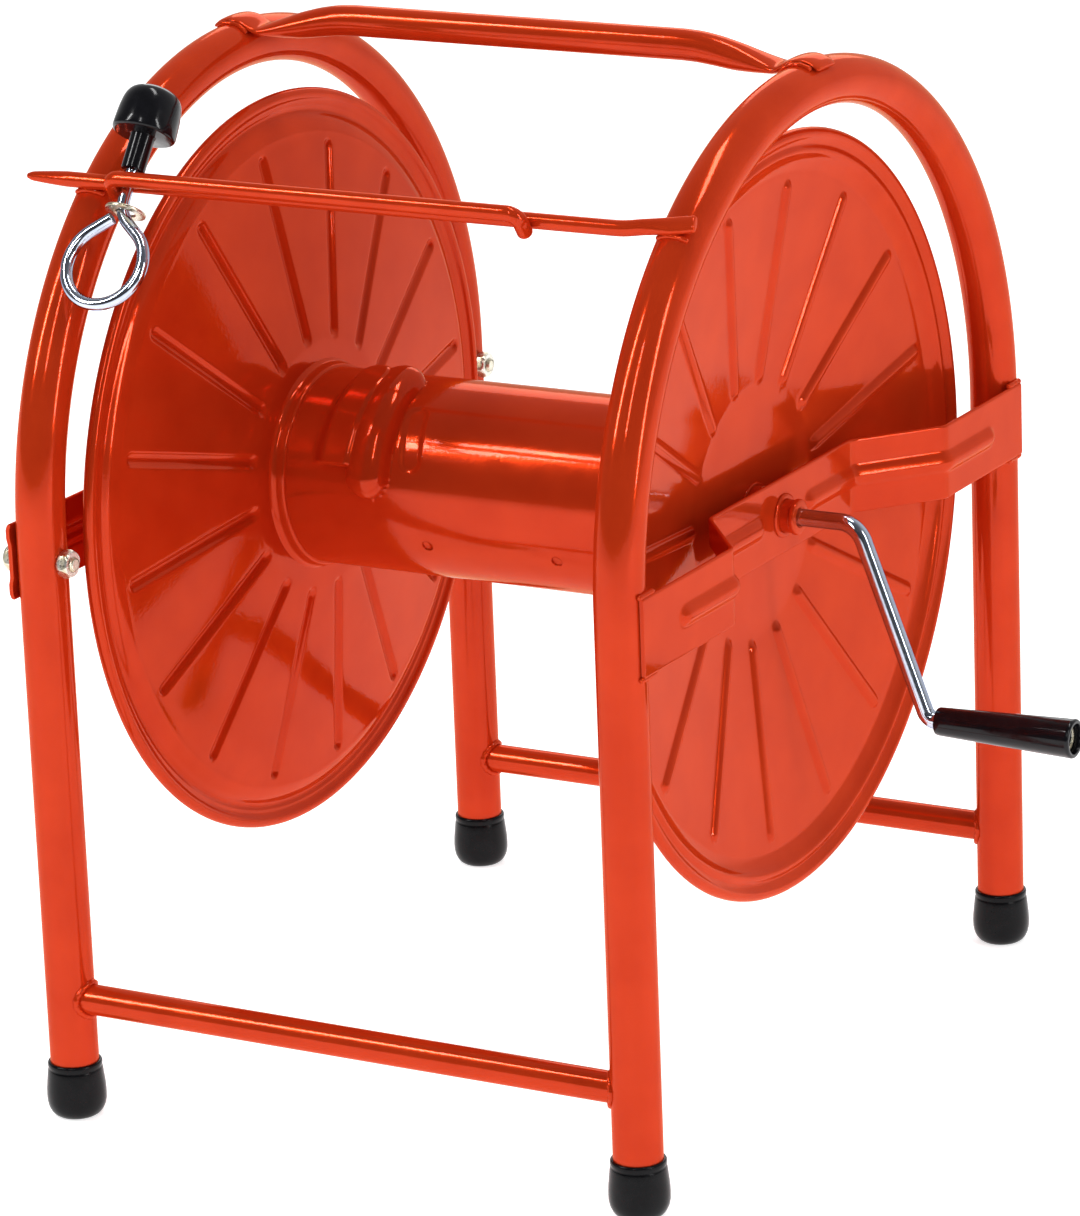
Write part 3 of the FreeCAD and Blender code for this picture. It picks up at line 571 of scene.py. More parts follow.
def bracket(side, tab_y, lobed):
    """Pressed strip with a stiffening bead, rounded long edges and a hub hole."""
    low, high = corners("left_bracket" if side < 0 else "right_bracket")
    half_h = (high[2] - low[2]) / 2
    shoulder_y, middle_y, cap = 122.0, 79.0, 0.7
    bead_start, bead_stop, bead_r, bead_rise, bead_reach = 24.0, 180.0, 5.6, 3.0, 12
    bends = [(tab_y - cap, STRIP_FACE), (shoulder_y, STRIP_FACE), (middle_y, MID_FACE),
             (-middle_y, MID_FACE), (-shoulder_y, STRIP_FACE), (-tab_y + cap, STRIP_FACE)]
    line = rounded(bends, [0, 9, 9, 9, 9, 0], 6.0)
    line = np.array(even(line, 1.6))
    tangent = np.gradient(line, axis=0)
    tangent /= np.linalg.norm(tangent, axis=1)[:, None]
    normal = np.column_stack([tangent[:, 1], -tangent[:, 0]])
    normal *= np.sign(normal[:, 1].mean())
    along = np.concatenate([[0], np.cumsum(np.linalg.norm(np.diff(line, axis=0), axis=1))])
    y = line[:, 0]
    r = STRIP_T / 2
    angles = np.linspace(-90, 90, 9)
    flat = np.linspace(-half_h + r, half_h - r, 57)
    outer = [(h, r) for h in flat]
    top_edge = [(half_h - r + r * math.cos(math.radians(a)), r * math.sin(math.radians(a)))
                for a in angles[::-1][1:-1]]
    inner = [(h, -r) for h in flat[::-1]]
    low_edge = [(-half_h + r - r * math.cos(math.radians(a)), r * math.sin(math.radians(a)))
                for a in angles[1:-1]]
    loop = np.array(outer + top_edge + inner + low_edge)
    h, t = loop[:, 0], loop[:, 1]
    # distance from the bead's centre line: two runs with round ends
    run = np.abs(along - along[-1] / 2)
    stop = run[np.argmin(np.abs(y - bead_stop))]
    past = np.maximum(np.maximum(bead_start + 5.5 - run, run - (stop - 5.5)), 0.0)
    dist = np.hypot(past[:, None], h[None, :])
    bump = bead_rise * (1 - (dist / bead_r) ** 2)
    bump = 0.5 * (bump + np.sqrt(bump ** 2 + 0.45))
    deep = bead_rise * bead_reach
    bump -= 0.5 * (-deep + math.sqrt(deep ** 2 + 0.45))
    bump *= dist < bead_reach
    if lobed:
        # the pressed ends curl: upper and lower lobes stand out beside the bolt head
        end = smooth((np.abs(y) - (LEG_Y - 16.0)) / 8.0)
        lobe = 0.9 * smooth((np.abs(h) - 8.0) / 5.0) * (1 - smooth((np.abs(h) - 16.5) / 3.5))
        bump = bump + end[:, None] * lobe[None, :]
    push = t[None, :] + bump
    centre = line - normal * r
    px = centre[:, 1][:, None] + normal[:, 1][:, None] * push
    py = centre[:, 0][:, None] + normal[:, 0][:, None] * push
    pz = DRUM_Z + np.broadcast_to(h, px.shape)
    pts = np.stack([side * px, py, pz], -1)
    # round the two short ends off
    for at in (0, -1):
        mid = pts[at].mean(axis=0)
        flat_ring = mid + (pts[at] - mid) * 0.985
        flat_ring[:, 1] += cap if pts[at][0][1] > 0 else -cap
        centre_line = flat_ring.copy()
        centre_line[:, 0] = flat_ring[:, 0].mean()
        rows = np.stack([flat_ring, centre_line])
        pts = np.concatenate([rows[::-1], pts]) if at == 0 else np.concatenate([pts, rows])
    return pts


def bracket_faces(pts, hole_r):
    """Grid of the strip, with the hub hole left open."""
    nu, nv = pts.shape[:2]
    faces = grid_faces(nu, nv, False, True)
    flat = pts.reshape(-1, 3)
    middle = flat[faces].mean(axis=1)
    away = np.hypot(middle[:, 1], middle[:, 2] - DRUM_Z)
    return flat, faces[away > hole_r]


for side, name, tab in ((-1, "left_bracket", 222.0), (1, "right_bracket", 217.0)):
    parts = [bracket_faces(bracket(side, tab, side < 0), 9.5)]
    if side > 0:
        for k, y in enumerate((-tab, tab)):
            face = FRAME_X + TUBE_R + 1.0
            edge = even([(face, y, DRUM_Z - 17), (face, y, DRUM_Z + 17)], 1.2)
            parts.append(weld(np.array(edge), 1.9, False, seed=40 + k))
            for j, z in enumerate((DRUM_Z - 20.6, DRUM_Z + 20.6)):
                sign = 1 if y > 0 else -1
                run = even([(face - 0.6, sign * (LEG_Y - 9), z), (face - 0.6, y, z)], 1.2)
                parts.append(weld(np.array(run), 1.5, False, seed=50 + k + 2 * j))
    piece(name + "_strip", parts, PAINT, "stand", [name])


# ---- fasteners of the left bracket ---------------------------------------------------------


def hexagon_loop(across, turn_deg):
    """Points round a hexagon with slightly broken corners."""
    base = [np.array([math.cos(a), math.sin(a)]) * across / math.sqrt(3)
            for a in np.radians(np.arange(6) * 60 + turn_deg)]
    return np.array(even(rounded(base, 0.5, 15, True), 1.1))


def hex_body(centre, axis, across, height, bevel_low, bevel_high, bore=0.0, turn_deg=12.0):
    """Hexagonal nut or head with turned bevels; a bore is left open through it."""
    axis = unit(axis)
    loop = hexagon_loop(across, turn_deg)
    reach = np.linalg.norm(loop, axis=1)
    rings = []
    circle = across / 2 - 0.25
    for t, cut in ((0.0, bevel_low), (0.16, bevel_low), (0.34, 0), (0.66, 0), (0.84, bevel_high),
                   (1.0, bevel_high)):
        if cut:
            edge = t in (0.0, 1.0)
            limit = circle if edge else across / 2 + 0.45
            scale = np.minimum(1.0, limit / reach)
            rings.append((t * height, loop * scale[:, None]))
        else:
            rings.append((t * height, loop))
    rim = loop / reach[:, None]
    rings = [(0.0, rim * bore)] + rings + [(height, rim * bore)]
    if bore:
        rings += [(height * k, rim * bore) for k in (0.75, 0.5, 0.25)]
    pts = [np.asarray(centre) + t * axis + r[:, :1] * Y + r[:, 1:] * Z for t, r in rings]
    return grid(np.array(pts), bool(bore), True)


def thread(centre, axis, radius, length, pitch=1.25):
    """Bolt end with a helical thread."""
    axis = unit(axis)
    segments = 36
    steps = int(length / pitch * segments)
    rows = []
    for dr, dt in ((-0.75, -0.5), (-0.75, -0.42), (0.0, -0.06), (0.0, 0.06), (-0.75, 0.42),
                   (-0.75, 0.5)):
        row = []
        for k in range(steps + 1):
            a = 2 * math.pi * k / segments
            fade = min(1.0, k / segments, (steps - k) / segments)
            r = radius - 0.05 + dr if fade >= 1 else radius - 0.8 + (dr + 0.75) * fade
            t = pitch * (k / segments + dt)
            t = min(max(t, 0.0), length)
            row.append(np.asarray(centre) + axis * t + r * (math.cos(a) * Y + math.sin(a) * Z))
        rows.append(row)
    core = turn([(0.0, 0.0), (0.0, radius - 0.8), (length - 0.5, radius - 0.8),
                 (length, radius - 1.3), (length, 0.0)], centre, axis, 36)
    return [grid(np.array(rows)), core]


bolt_low, bolt_high = corners("bracket_bolts")
nut_low, nut_high = corners("bracket_nuts")
bolts, nuts = [], []
M8_R, M8_HEX = 4.0, 13.0
for y in (-LEG_Y, LEG_Y):
    under_head = (-STRIP_FACE, y, DRUM_Z)
    seat = (nut_low[0], y, DRUM_Z)
    bolts.append(hex_body(under_head, -X, M8_HEX, -STRIP_FACE - bolt_low[0], 0, 1))
    bolts.append(turn([(0.0, M8_R), (nut_low[0] + STRIP_FACE, M8_R)], under_head, X, 36))
    bolts += thread(seat, X, M8_R, bolt_high[0] - nut_low[0] - 0.05)
    nuts.append(hex_body(seat, X, M8_HEX, nut_high[0] - nut_low[0], 1, 1, M8_R + 0.05))
piece("bracket_bolt_pair", bolts, ZINC, "stand", ["bracket_bolts"])
piece("bracket_nut_pair", nuts, ZINC, "stand", ["bracket_nuts"])

bush_low, bush_high = corners("right_bush")
for side, name in ((-1, "left_bush"), (1, "right_bush")):
    inner, outer, face = bush_low[0], bush_high[0], MID_FACE
    rim = bush_high[2] - DRUM_Z
    profile = [(inner, BORE_R), (inner, rim - 0.6), (inner + 0.3, rim - 0.1), (inner + 1.2, rim),
               (face - 2.35, rim - 0.2), (face - STRIP_T, 9.6), (face + 0.05, 9.6),
               (face + 0.1, rim - 0.1), (face + 0.5, rim), (face + 1.1, rim - 0.3),
               (outer - 0.1, rim - 0.9), (outer, rim - 1.3), (outer, 9.2), (outer - 0.35, BORE_R)]
    piece(name + "_ring", [turn(profile, (0, 0, DRUM_Z), X * side, 72, True)], PAINT, "stand",
          [name])


# ---- reel ----------------------------------------------------------------------------------


def flange_profile():
    """(x, radius, rib share) round the closed section of the flange sheet."""
    base = CREST_X - 152.2
    outer = [(HUB_X, BORE_R), (HUB_X, 14), (HUB_X, 40), (HUB_X, 62), (HUB_X + 0.05, 66),
             (HUB_X + 0.25, 68), (HUB_X + 0.55, 70)]
    x0, r0, x1, r1 = HUB_X + 0.55, 70.0, 144.2, 174.5
    radii = list(np.arange(71, 84, 1.0)) + list(np.arange(88, 156, 7.0))
    radii += list(np.arange(157, 174.5, 1.0))
    outer += [(x0 + (x1 - x0) * (r - r0) / (r1 - r0), r) for r in radii]
    outer += [(144.25, 175.4), (144.35, 176.4), (144.7, 177.6), (145.25, 179.0),
              (145.9, 180.6), (146.6, 182.0), (147.4, 183.3), (148.3, 184.4), (149.2, 185.4),
              (149.75, 186.3), (149.9, 187.2), (149.65, 188.2), (149.2, 189.1), (148.9, 189.9),
              (148.85, 190.6), (149.0, 191.2), (149.4, 191.8)]
    outer = [(x + base * (r > 174), r) for x, r in outer]
    curl_x, curl_r, curl = CREST_X - 3.4, FLANGE_R - 3.4, 3.4
    ring = []
    for angle in np.arange(-30, 236, 12.0):
        a = math.radians(angle)
        ring.append((curl_x + curl * math.cos(a), curl_r + curl * math.sin(a)))
    inner = [(x - SHEET, r) for x, r in reversed(outer)]
    loop = outer[:-2] + ring + inner[2:]
    share = [1.0 if 66 < r < 175 else 0.0 for _, r in loop]
    return np.array(loop), np.array(share)


def flange(side, phase):
    """Dished disc with radial pressed ribs, a stepped edge and a rolled rim."""
    loop, share = flange_profile()
    x, r = loop[:, 0], loop[:, 1]
    near = np.array([0, 0.7, 1.4, 2.1, 2.7, 3.2, 3.6, 4.0, 4.5, 5.1, 6.0, 7.4])
    lateral = np.concatenate([-near[:0:-1], near])
    gaps = np.linspace(0, 1, 9)[1:-1]
    reach = np.maximum(r, 66.0)
    theta, height = [], []
    sector = 2 * math.pi / RIB_COUNT
    start, stop, rib_rise, rib_r = 72.0, 168.0, 2.4, 4.1
    for k in range(RIB_COUNT):
        for d in lateral:
            theta.append(math.radians(phase) + k * sector + d / reach)
            past = np.maximum(np.maximum(start - r, r - stop), 0.0)
            dist = np.hypot(past, d)
            rise = rib_rise * (1 - (dist / rib_r) ** 2)
            rise = 0.5 * (rise + np.sqrt(rise ** 2 + 0.12))
            fade = 1 - smooth((dist - 5.0) / 2.0)
            height.append(rise * share * fade)
        edge = lateral[-1] / reach
        for g in gaps:
            theta.append(math.radians(phase) + k * sector + edge + g * (sector - 2 * edge))
            height.append(0 * r)
    theta, height = np.array(theta), np.array(height)
    # the sheet is never perfectly flat: a slow, faint waviness
    wave = 0.10 * np.sin(3 * theta + 0.8 + side) + 0.07 * np.sin(5 * theta + 2.0 * side)
    wave = wave * smooth((r[None, :] - 60) / 60) * (1 - smooth((r[None, :] - 165) / 10))
    px = x[None, :] + height + wave
    pts = np.stack([px, r * np.cos(theta), DRUM_Z + r * np.sin(theta)], -1)
    pts[:, :, 0] *= side
    return grid(pts, True, True)


def neck(side):
    """Short collar of the flange that grips the drum's end, and its rolled edge."""
    end = -corners("left_flange")[1][0] if side < 0 else corners("right_flange")[0][0]
    root = HUB_X - SHEET
    profile = [(root + 0.2, DRUM_R - 0.6), (root + 0.2, DRUM_R + 4.2), (root - 0.5, DRUM_R + 3.2),
               (root - 1.2, DRUM_R + 2.3), (root - 2.4, DRUM_R + 1.7), (root - 4.0, DRUM_R + 1.5),
               (end + 1.2, DRUM_R + 1.5), (end + 0.5, DRUM_R + 1.2), (end + 0.1, DRUM_R + 0.5),
               (end, DRUM_R - 0.1)]
    return turn(profile, (0, 0, DRUM_Z), X * side, 180)


piece("left_side_disc", [flange(-1, 7.9), neck(-1)], PAINT, "reel", ["left_flange"], sharp=50)
piece("right_side_disc", [flange(1, 16.2), neck(1)], PAINT, "reel", ["right_flange"], sharp=50)


def stadium(x, arc, ends, radius):
    """Distance from a line on the unrolled drum, over a radius.  ends are two (x, degrees)."""
    scale = math.radians(1) * DRUM_R
    (x0, t0), (x1, t1) = ends
    ax, ay, bx, by = x0, t0 * scale, x1, t1 * scale
    px, py = x - ax, arc * scale - ay
    dx, dy = bx - ax, by - ay
    share = np.clip((px * dx + py * dy) / (dx * dx + dy * dy), 0, 1)
    return np.hypot(px - share * dx, py - share * dy) / radius


def hood_height(x, arc):
    """How far the pressed hose exit stands out of the drum; arc is in degrees."""
    body = stadium(x, arc, ((-83.0, 108.0), (-86.0, 158.0)), 20.0)
    body = 9.4 * (1 - smooth((body - 0.30) / 0.66))
    lip = 1 - smooth((arc - 161.5) / 1.8)
    body = body * lip
    thumb = stadium(x, arc, ((-70.5, 103.0), (-70.0, 166.0)), 12.5)
    thumb = 9.2 * np.sqrt(np.clip(1 - thumb ** 2.6, 0, 1))
    dent = stadium(x, arc, ((-50.0, 128.0), (-46.0, 156.0)), 7.0)
    dent = -0.7 * (1 - smooth((dent - 0.55) / 0.45))
    rise = np.maximum(body, thumb)
    soft = 0.5 * (body + thumb + np.sqrt((body - thumb) ** 2 + 0.8)) - 0.45
    return np.where(rise > 0.3, np.maximum(soft, rise), rise) + dent


def mixed(low, high, coarse, zones):
    """Values from low to high in coarse steps, finer inside the (start, stop, step) zones."""
    out, at = [], low
    while at < high - 1e-6:
        out.append(at)
        step = coarse
        for start, stop, fine in zones:
            if start - 1e-6 <= at < stop:
                step = fine
            elif at < start < at + step:
                step = start - at
        at += step
    return np.array(out + [high])


def drum():
    """Rolled drum with the pressed hose exit and two clip holes."""
    scale = math.radians(1) * DRUM_R
    xs = mixed(-DRUM_X, DRUM_X, 2.4, [(-43.5, -33.5, 0.5), (-108, -43.5, 0.7), (33.5, 43.5, 0.5)])
    arcs = mixed(-180.0, 180.0, 2.0, [(-158.5, -147.5, 0.55), (76.0, 180.0, 0.8)])[:-1]
    gx, ga = np.meshgrid(xs, arcs, indexing="ij")
    faces = grid_faces(len(xs), len(arcs), False, True)
    x, arc = gx.reshape(-1).copy(), ga.reshape(-1).copy()
    for hole_x in CLIP_XS:
        dx, ds = x - hole_x, (arc - CLIP_ARC) * scale
        away = np.hypot(dx, ds)
        gone = (away < CLIP_R)[faces].all(axis=1) | (
            np.hypot(dx[faces].mean(axis=1), ds[faces].mean(axis=1)) < CLIP_R)
        rim = np.intersect1d(faces[gone], faces[~gone])
        grow = CLIP_R / np.maximum(away[rim], 0.1)
        x[rim] = hole_x + dx[rim] * grow
        arc[rim] = CLIP_ARC + ds[rim] * grow / scale
        faces = faces[~gone]
    r = DRUM_R + hood_height(x, arc)
    angle = np.radians(arc)
    z = DRUM_Z + r * np.sin(angle)
    z = np.minimum(z, corners("drum_tube")[1][2])
    return np.column_stack([x, r * np.cos(angle), z]), faces


def clip_hole(x):
    """Pressed wall and painted-over bottom of one clip hole."""
    a = math.radians(CLIP_ARC)
    out = np.array([0, math.cos(a), math.sin(a)])
    centre = np.array([x, 0, DRUM_Z]) + out * (DRUM_R - 1.2)
    profile = [(0.0, 0.0), (0.0, 2.7), (0.25, 2.95), (1.1, 2.98), (1.3, 3.2)]
    return turn(profile, centre, out, 36)


piece("drum_shell", [drum()] + [clip_hole(x) for x in CLIP_XS], PAINT, "reel", ["drum_tube"],
      sharp=60)


def ring_profile(start, end, inner, outer, edge=0.4):
    """Closed section of a ring with broken edges, for turn(..., closed=True)."""
    box = [(start, inner), (start, outer), (end, outer), (end, inner)]
    return [tuple(p) for p in rounded(box, edge, 30, True)]


for side, name in ((-1, "left_hub_collar"), (1, "right_hub_collar")):
    low, high = corners("right_hub_collar")
    outer = high[2] - DRUM_Z
    collar = [(low[0], BORE_R), (low[0], outer), (low[0] + 1.2, outer), (high[0] - 2.0, outer),
              (high[0] - 0.8, outer - 0.5), (high[0] - 0.1, outer - 1.6), (high[0], outer - 2.4),
              (high[0], 9.0), (high[0] - 0.5, BORE_R)]
    seam = np.array([(side * low[0], (outer + 0.6) * math.cos(a),
                      DRUM_Z + (outer + 0.6) * math.sin(a))
                     for a in np.linspace(0, 2 * math.pi, 72, endpoint=False)])
    piece(name + "_ring", [turn(collar, (0, 0, DRUM_Z), X * side, 72, True),
                           weld(seam, 1.1, seed=60 + side)], PAINT, "reel", [name])

axle_low, axle_high = corners("axle_tube")
AXLE_R = axle_high[2] - DRUM_Z
axle = ring_profile(axle_low[0], axle_high[0], 6.55, AXLE_R, 0.7)
piece("axle", [turn(axle, (0, 0, DRUM_Z), X, 72, True)], PAINT, "reel", ["axle_tube"])
for name in ("left_cross_pin", "right_cross_pin"):
    low, high = corners(name)
    x = (low[0] + high[0]) / 2
    pin = ring_profile(low[2], high[2], 1.2, 2.0, 0.3)
    piece(name + "_roll", [turn(pin, (x, 0, 0), Z, 32, True)], ZINC, "reel", [name])
low, high = corners("axle_washer")
washer = ring_profile(low[0], high[0], AXLE_R + 0.05, high[2] - DRUM_Z, 0.45)
piece("axle_flat_washer", [turn(washer, (0, 0, DRUM_Z), X, 72, True)], ZINC, "reel",
      ["axle_washer"])


def cotter():
    """Split pin: an eye above the axle, two half-round legs below, bent apart."""
    low, high = corners("axle_cotter")
    x = (low[0] + high[0]) / 2
    top = high[2] - 3.6
    parts = []
    for side in (-1, 1):
        eye = [(x, side * 2.9 * math.sin(a), top + 2.6 * -math.cos(a))
               for a in np.radians(np.arange(15, 181, 11))]
        down = [(x, side * 0.72, top - 3.6), (x, side * 0.72, DRUM_Z - AXLE_R - 1.4),
                (x, side * 3.9, low[2] + 1.3)]
        line = list(reversed(eye)) + rounded(down, [0, 1.6, 0], 12)
        parts.append(sweep(np.array(even(line, 0.6)), 1.0, 0.68, up=Y, segments=16,
                           ends=(0.4, 0.4)))
    return parts


piece("axle_split_pin", cotter(), ZINC, "reel", ["axle_cotter"])

socket_low, socket_high = corners("crank_socket")
collar_r = 9.3
out = socket_high[0]
tip = axle_high[0]
socket = [(socket_low[0], 4.45), (socket_low[0], 6.5), (tip + 0.05, 6.5),
          (tip + 0.05, collar_r - 0.6), (tip + 0.5, collar_r), (out - 1.2, collar_r),
          (out - 0.35, collar_r - 0.4), (out, collar_r - 1.3), (out, 5.6), (out - 0.6, 4.9),
          (out - 0.8, 4.45)]
piece("crank_socket_collar", [turn(socket, (0, 0, DRUM_Z), X, 72, True)], PAINT, "reel",
      ["crank_socket"])

rod_low, rod_high = corners("crank_rod")
CRANK_R = 4.4
ELBOW_X, WRIST_X = 188.0, 226.0
elbow = [(rod_low[0], 0, DRUM_Z), (ELBOW_X, 0, DRUM_Z), (WRIST_X, 0, CRANK_Z),
         (rod_high[0] - 2.2, 0, CRANK_Z)]
line = np.array(even(rounded(elbow, [0, 14, 7, 0], 3.0), 2.5))
piece("crank_bar", [sweep(line, CRANK_R, segments=48, up=Y, ends=(0.3, 2.15))], CHROME, "reel",
      ["crank_rod"])
low, high = corners("grip_washer")
washer = ring_profile(low[0], high[0], CRANK_R, high[2] - CRANK_Z, 0.3)
piece("grip_push_washer", [turn(washer, (0, 0, CRANK_Z), X, 48, True)], ZINC, "reel",
      ["grip_washer"])


def grip():
    """Tapered hand grip with a rounded mouth, a slight collar and a recessed end."""
    low, high = corners("crank_grip")
    start, end = low[0], high[0]
    big = (high[2] - low[2]) / 2
    small = 7.3
    profile = [(start + 0.5, 4.5), (start, 5.2), (start, small - 1.0), (start + 0.3, small - 0.3),
               (start + 1.0, small)]
    for x in np.linspace(start + 4, end - 4.0, 24):
        share = (x - start) / (end - start)
        profile.append((x, small + (big - small) * share))
    profile += [(end - 2.2, big - 0.05), (end - 1.2, big), (end - 0.5, big - 0.25),
                (end - 0.1, big - 0.8), (end, big - 1.4), (end - 0.15, big - 2.2),
                (end - 0.7, 7.65), (end - 4.8, 7.5), (end - 5.0, 7.2), (end - 5.0, 4.5)]
    return turn(profile, (0, 0, CRANK_Z), X, 80, True)


piece("hand_grip", [grip()], PLASTIC, "grip", ["crank_grip"])


# ---- hose guide ----------------------------------------------------------------------------

ROD_R = 4.0
ROD_A = math.radians(131.5)
ROD_END_A = math.radians(129.7)
ROD_BEND_X, ROD_END_X = 142.0, 177.0
ROD_REACH = LEG_Y + TUBE_R + ROD_R - 0.2
ROD_Y, ROD_Z = ROD_REACH * math.cos(ROD_A), ARCH_Z + ROD_REACH * math.sin(ROD_A)
SLOT_OFF = np.array([0.0, -14.1, 6.2])


def guide_rod():
    """Rod over both arches: pointed at the left, pressed flat where it is welded at the right."""
    left, right = (corner[0] for corner in corners("guide_rod"))
    knots = [(left + 0.9, 1.5, 1.5), (left + 3, 2.4, 2.4), (left + 9, 2.95, 2.95),
             (left + 16, 3.5, 3.5), (left + 24, 4.0, 4.0), (151, 4.0, 4.0), (158, 3.5, 4.4),
             (165, 2.9, 4.9), (172, 2.7, 5.0), (right - 1.2, 2.6, 4.8)]
    knots = np.array(knots)
    x = np.linspace(knots[0][0], knots[-1][0], 230)
    w = np.interp(x, knots[:, 0], knots[:, 1])
    h = np.interp(x, knots[:, 0], knots[:, 2])
    slope = (ROD_A - ROD_END_A) / (ROD_END_X - ROD_BEND_X)
    past = x - ROD_BEND_X
    angle = ROD_A - slope * 0.5 * (past + np.sqrt(past ** 2 + 9.0))
    reach = ROD_REACH - np.interp(x, [151, 166], [0, 1.2])
    line = np.column_stack([x, reach * np.cos(angle), ARCH_Z + reach * np.sin(angle)])
    along = np.array([0, math.sin(ROD_A), -math.cos(ROD_A)])
    return sweep(line, w, h, up=along, segments=40, ends=(0.9, 1.2))


def rod_welds():
    """Beads where the rod lies on the two arches."""
    parts = []
    over_arch = ROD_A - (ROD_A - ROD_END_A) * (FRAME_X - ROD_BEND_X) / (ROD_END_X - ROD_BEND_X)
    for side, angle in ((-1, ROD_A), (1, over_arch)):
        outward = np.array([0, math.cos(angle), math.sin(angle)])
        along = np.array([0, math.sin(angle), -math.cos(angle)])
        for k, shift in enumerate((-1, 1)):
            line = []
            for t in np.linspace(-7.5, 7.5, 16):
                x = side * FRAME_X + t
                depth = math.sqrt(TUBE_R ** 2 - t ** 2)
                reach = 3.3 if side < 0 else 4.5
                point = np.array([x, 0, ARCH_Z]) + outward * (LEG_Y + depth + 0.5)
                line.append(point + along * shift * reach)
            parts.append(weld(np.array(line), 1.35, False, seed=70 + k + 2 * side))
    return parts


piece("guide_rail", [guide_rod()] + rod_welds(), PAINT, "stand", ["guide_rod"])


def slot_rod():
    """Second rod of the slot, its ends hooked over the front of the first."""
    low, high = corners("guide_slot_rod")
    base = np.array([0, ROD_Y, ROD_Z]) + SLOT_OFF
    to_rod = unit(-SLOT_OFF)
    past = math.asin(2 * ROD_R / np.linalg.norm(SLOT_OFF))
    down = to_rod * math.cos(past) - np.cross(X, to_rod) * math.sin(past)
    a, b = base + X * (low[0] + ROD_R), base + X * (high[0] - ROD_R)
    line = rounded([a + down * 12.4, a, b, b + down * 12.4], [0, 6.5, 6.5, 0], 5.0)
    line = np.array(even(line, 2.5))
    return sweep(line, ROD_R, segments=40, up=np.cross(X, down), ends=(2.6, 2.6))


piece("guide_slot_bar", [slot_rod()], PAINT, "stand", ["guide_slot_rod"])


def guide_eye():
    """Wire from the knob down through the slot, bent into a closed drop-shaped eye."""
    ring_r, drop, join, end, leg = 21.8, 45.0, 52.0, 128.0, 12.2
    centre = GUIDE - GUIDE_UP * drop

    def on_eye(deg):
        a = math.radians(deg)
        return centre + X * ring_r * math.cos(a) + GUIDE_UP * ring_r * math.sin(a)

    tangent = X * math.sin(math.radians(join)) - GUIDE_UP * math.cos(math.radians(join))
    start = on_eye(join)
    knee = start - tangent * ((start - GUIDE)[0] / tangent[0])
    shoulder = np.linalg.norm(start - knee)
    stem = rounded([GUIDE + GUIDE_UP * 22, knee, start + tangent * 0.01],
                   [0, shoulder / math.tan(math.radians(26)), 0], 4.0)
    ring = [on_eye(a) for a in np.arange(join - 3, end - 359.5, -4.0)] + [on_eye(end)]
    leave = X * math.sin(math.radians(end)) - GUIDE_UP * math.cos(math.radians(end))
    ring.append(on_eye(end) + leave * leg)
    line = np.array(even(stem[:-1] + ring, 1.6))
    return sweep(line, 3.2, segments=36, up=GUIDE_OUT, ends=(0.3, 0.5))


piece("guide_wire_eye", [guide_eye()], CHROME, "guide", ["guide_eye"])


def knob():
    """Domed knob with a flat crown, a tapered skirt and a long neck."""
    profile = [(6.0, 0.0), (6.0, 5.4), (6.4, 6.0), (7.2, 6.2), (24.4, 6.2), (25.3, 6.6),
               (25.5, 7.4), (25.5, 14.6), (25.7, 15.6), (26.3, 16.2), (27.2, 16.5),
               (31.0, 16.4), (37.0, 16.05), (39.5, 15.7), (41.6, 15.4), (43.6, 14.95),
               (45.4, 14.3), (46.9, 13.5), (48.2, 12.4), (49.3, 10.8), (50.2, 8.8),
               (50.9, 6.8), (51.5, 4.6), (51.9, 2.6), (52.15, 1.2), (52.2, 0.0)]
    return turn(profile, GUIDE, GUIDE_UP, 80)


piece("guide_knob_cap", [knob()], PLASTIC, "guide_slider", ["guide_knob"])
washer = ring_profile(-16.8, -15.2, 5.25, 10.5, 0.4)
piece("guide_slide_washer", [turn(washer, GUIDE + X * 3.0, GUIDE_UP, 64, True)], ZINC, "guide",
      ["guide_washer"])


# ---- camera, floor and light ---------------------------------------------------------------

camera_data = bpy.data.cameras.new("camera")
camera = bpy.data.objects.new("camera", camera_data)
scene.collection.objects.link(camera)
camera_at = Vector((1.44826, -2.54578, 1.12122))
azimuth, elevation, roll = (math.radians(v) for v in (29.62, 16.86, -2.198))
back = Vector((math.sin(azimuth) * math.cos(elevation), -math.cos(azimuth) * math.cos(elevation),
               math.sin(elevation)))
level = Vector((math.cos(azimuth), math.sin(azimuth), 0))
upright = back.cross(level)
right = level * math.cos(roll) + upright * math.sin(roll)
up = upright * math.cos(roll) - level * math.sin(roll)
rotation = Matrix((right, up, back)).transposed()
camera.matrix_world = Matrix.Translation(camera_at) @ rotation.to_4x4()
camera_data.sensor_fit = "HORIZONTAL"
camera_data.sensor_width = 36.0
FOCAL_PX, PHOTO_WIDTH = 5810.19, 1080
camera_data.lens = FOCAL_PX / PHOTO_WIDTH * camera_data.sensor_width
camera_data.clip_end = 100.0
scene.camera = camera


def floor_material():
    """Nearly white card that also glows a little, so that the floor stays white."""
    n = Nodes("floor_card")
    tint = n.ramp(n.noise(3, 3), [(0.3, (0.90, 0.90, 0.90)), (0.7, (0.93, 0.93, 0.93))])
    n.link(tint, n.shader.inputs["Base Color"])
    n.link(n.spread(n.noise(30, 3), 0.6, 0.75), n.shader.inputs["Roughness"])
    n.set(Specular_IOR_Level=0.15, Emission_Color=(1.0, 1.0, 1.0, 1.0), Emission_Strength=0.7)
    return n.material


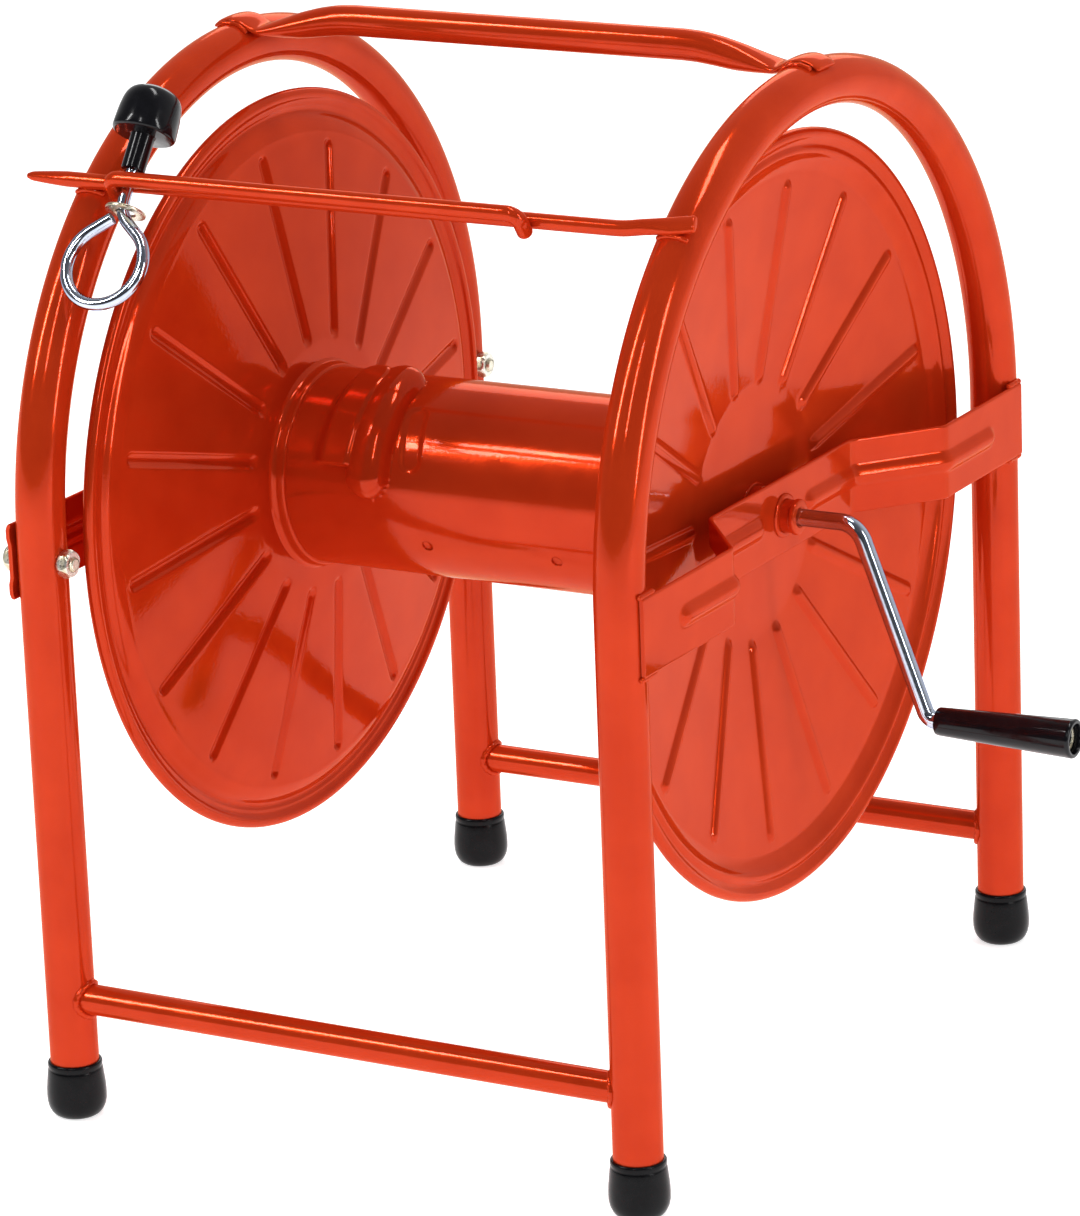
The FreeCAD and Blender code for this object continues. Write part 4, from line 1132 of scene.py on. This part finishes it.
floor_mesh = bpy.data.meshes.new("floor")
floor_mesh.from_pydata([(-9, -9, 0), (9, -9, 0), (9, 9, 0), (-9, 9, 0)], [], [(0, 1, 2, 3)])
floor_mesh.materials.append(floor_material())
floor = bpy.data.objects.new("floor", floor_mesh)
scene.collection.objects.link(floor)


LIGHT_AIM = Vector((0, 0, 0.3))


def soft_box(name, at, size, power):
    """Area light that looks at the middle of the reel."""
    data = bpy.data.lights.new(name, "AREA")
    data.shape = "RECTANGLE"
    data.size, data.size_y = size
    data.energy = power
    light = bpy.data.objects.new(name, data)
    scene.collection.objects.link(light)
    light.location = at
    light.rotation_euler = (LIGHT_AIM - Vector(at)).to_track_quat("-Z", "Y").to_euler()


soft_box("key_left", (-1.9, -2.1, 2.3), (0.32, 1.8), 48)
soft_box("strip_front", (0.5, -2.9, 2.6), (0.20, 1.4), 18)
soft_box("fill_right", (2.6, -0.6, 1.3), (0.24, 1.8), 24)
soft_box("top", (0.2, 0.3, 2.7), (1.4, 0.30), 18)
soft_box("back", (-1.0, 2.6, 1.6), (1.8, 1.0), 12)

world = bpy.data.worlds.new("studio")
scene.world = world
world.use_nodes = True
tree = world.node_tree
background = tree.nodes["Background"]
coords = tree.nodes.new("ShaderNodeTexCoord")
split = tree.nodes.new("ShaderNodeSeparateXYZ")
tree.links.new(coords.outputs["Generated"], split.inputs[0])
reach = tree.nodes.new("ShaderNodeMapRange")
reach.inputs["From Min"].default_value = -1.0
tree.links.new(split.outputs["Y"], reach.inputs["Value"])
ramp = tree.nodes.new("ShaderNodeValToRGB")
stops = ramp.color_ramp.elements
stops[0].position = 0.0
stops[0].color = (0.05, 0.05, 0.055, 1)
stops[1].position = 1.0
stops[1].color = (0.90, 0.90, 0.90, 1)
stops.new(0.45).color = (0.17, 0.17, 0.18, 1)
tree.links.new(reach.outputs["Result"], ramp.inputs["Fac"])
tree.links.new(ramp.outputs["Color"], background.inputs["Color"])
background.inputs["Strength"].default_value = 1.0
scene.view_settings.view_transform = "Standard"
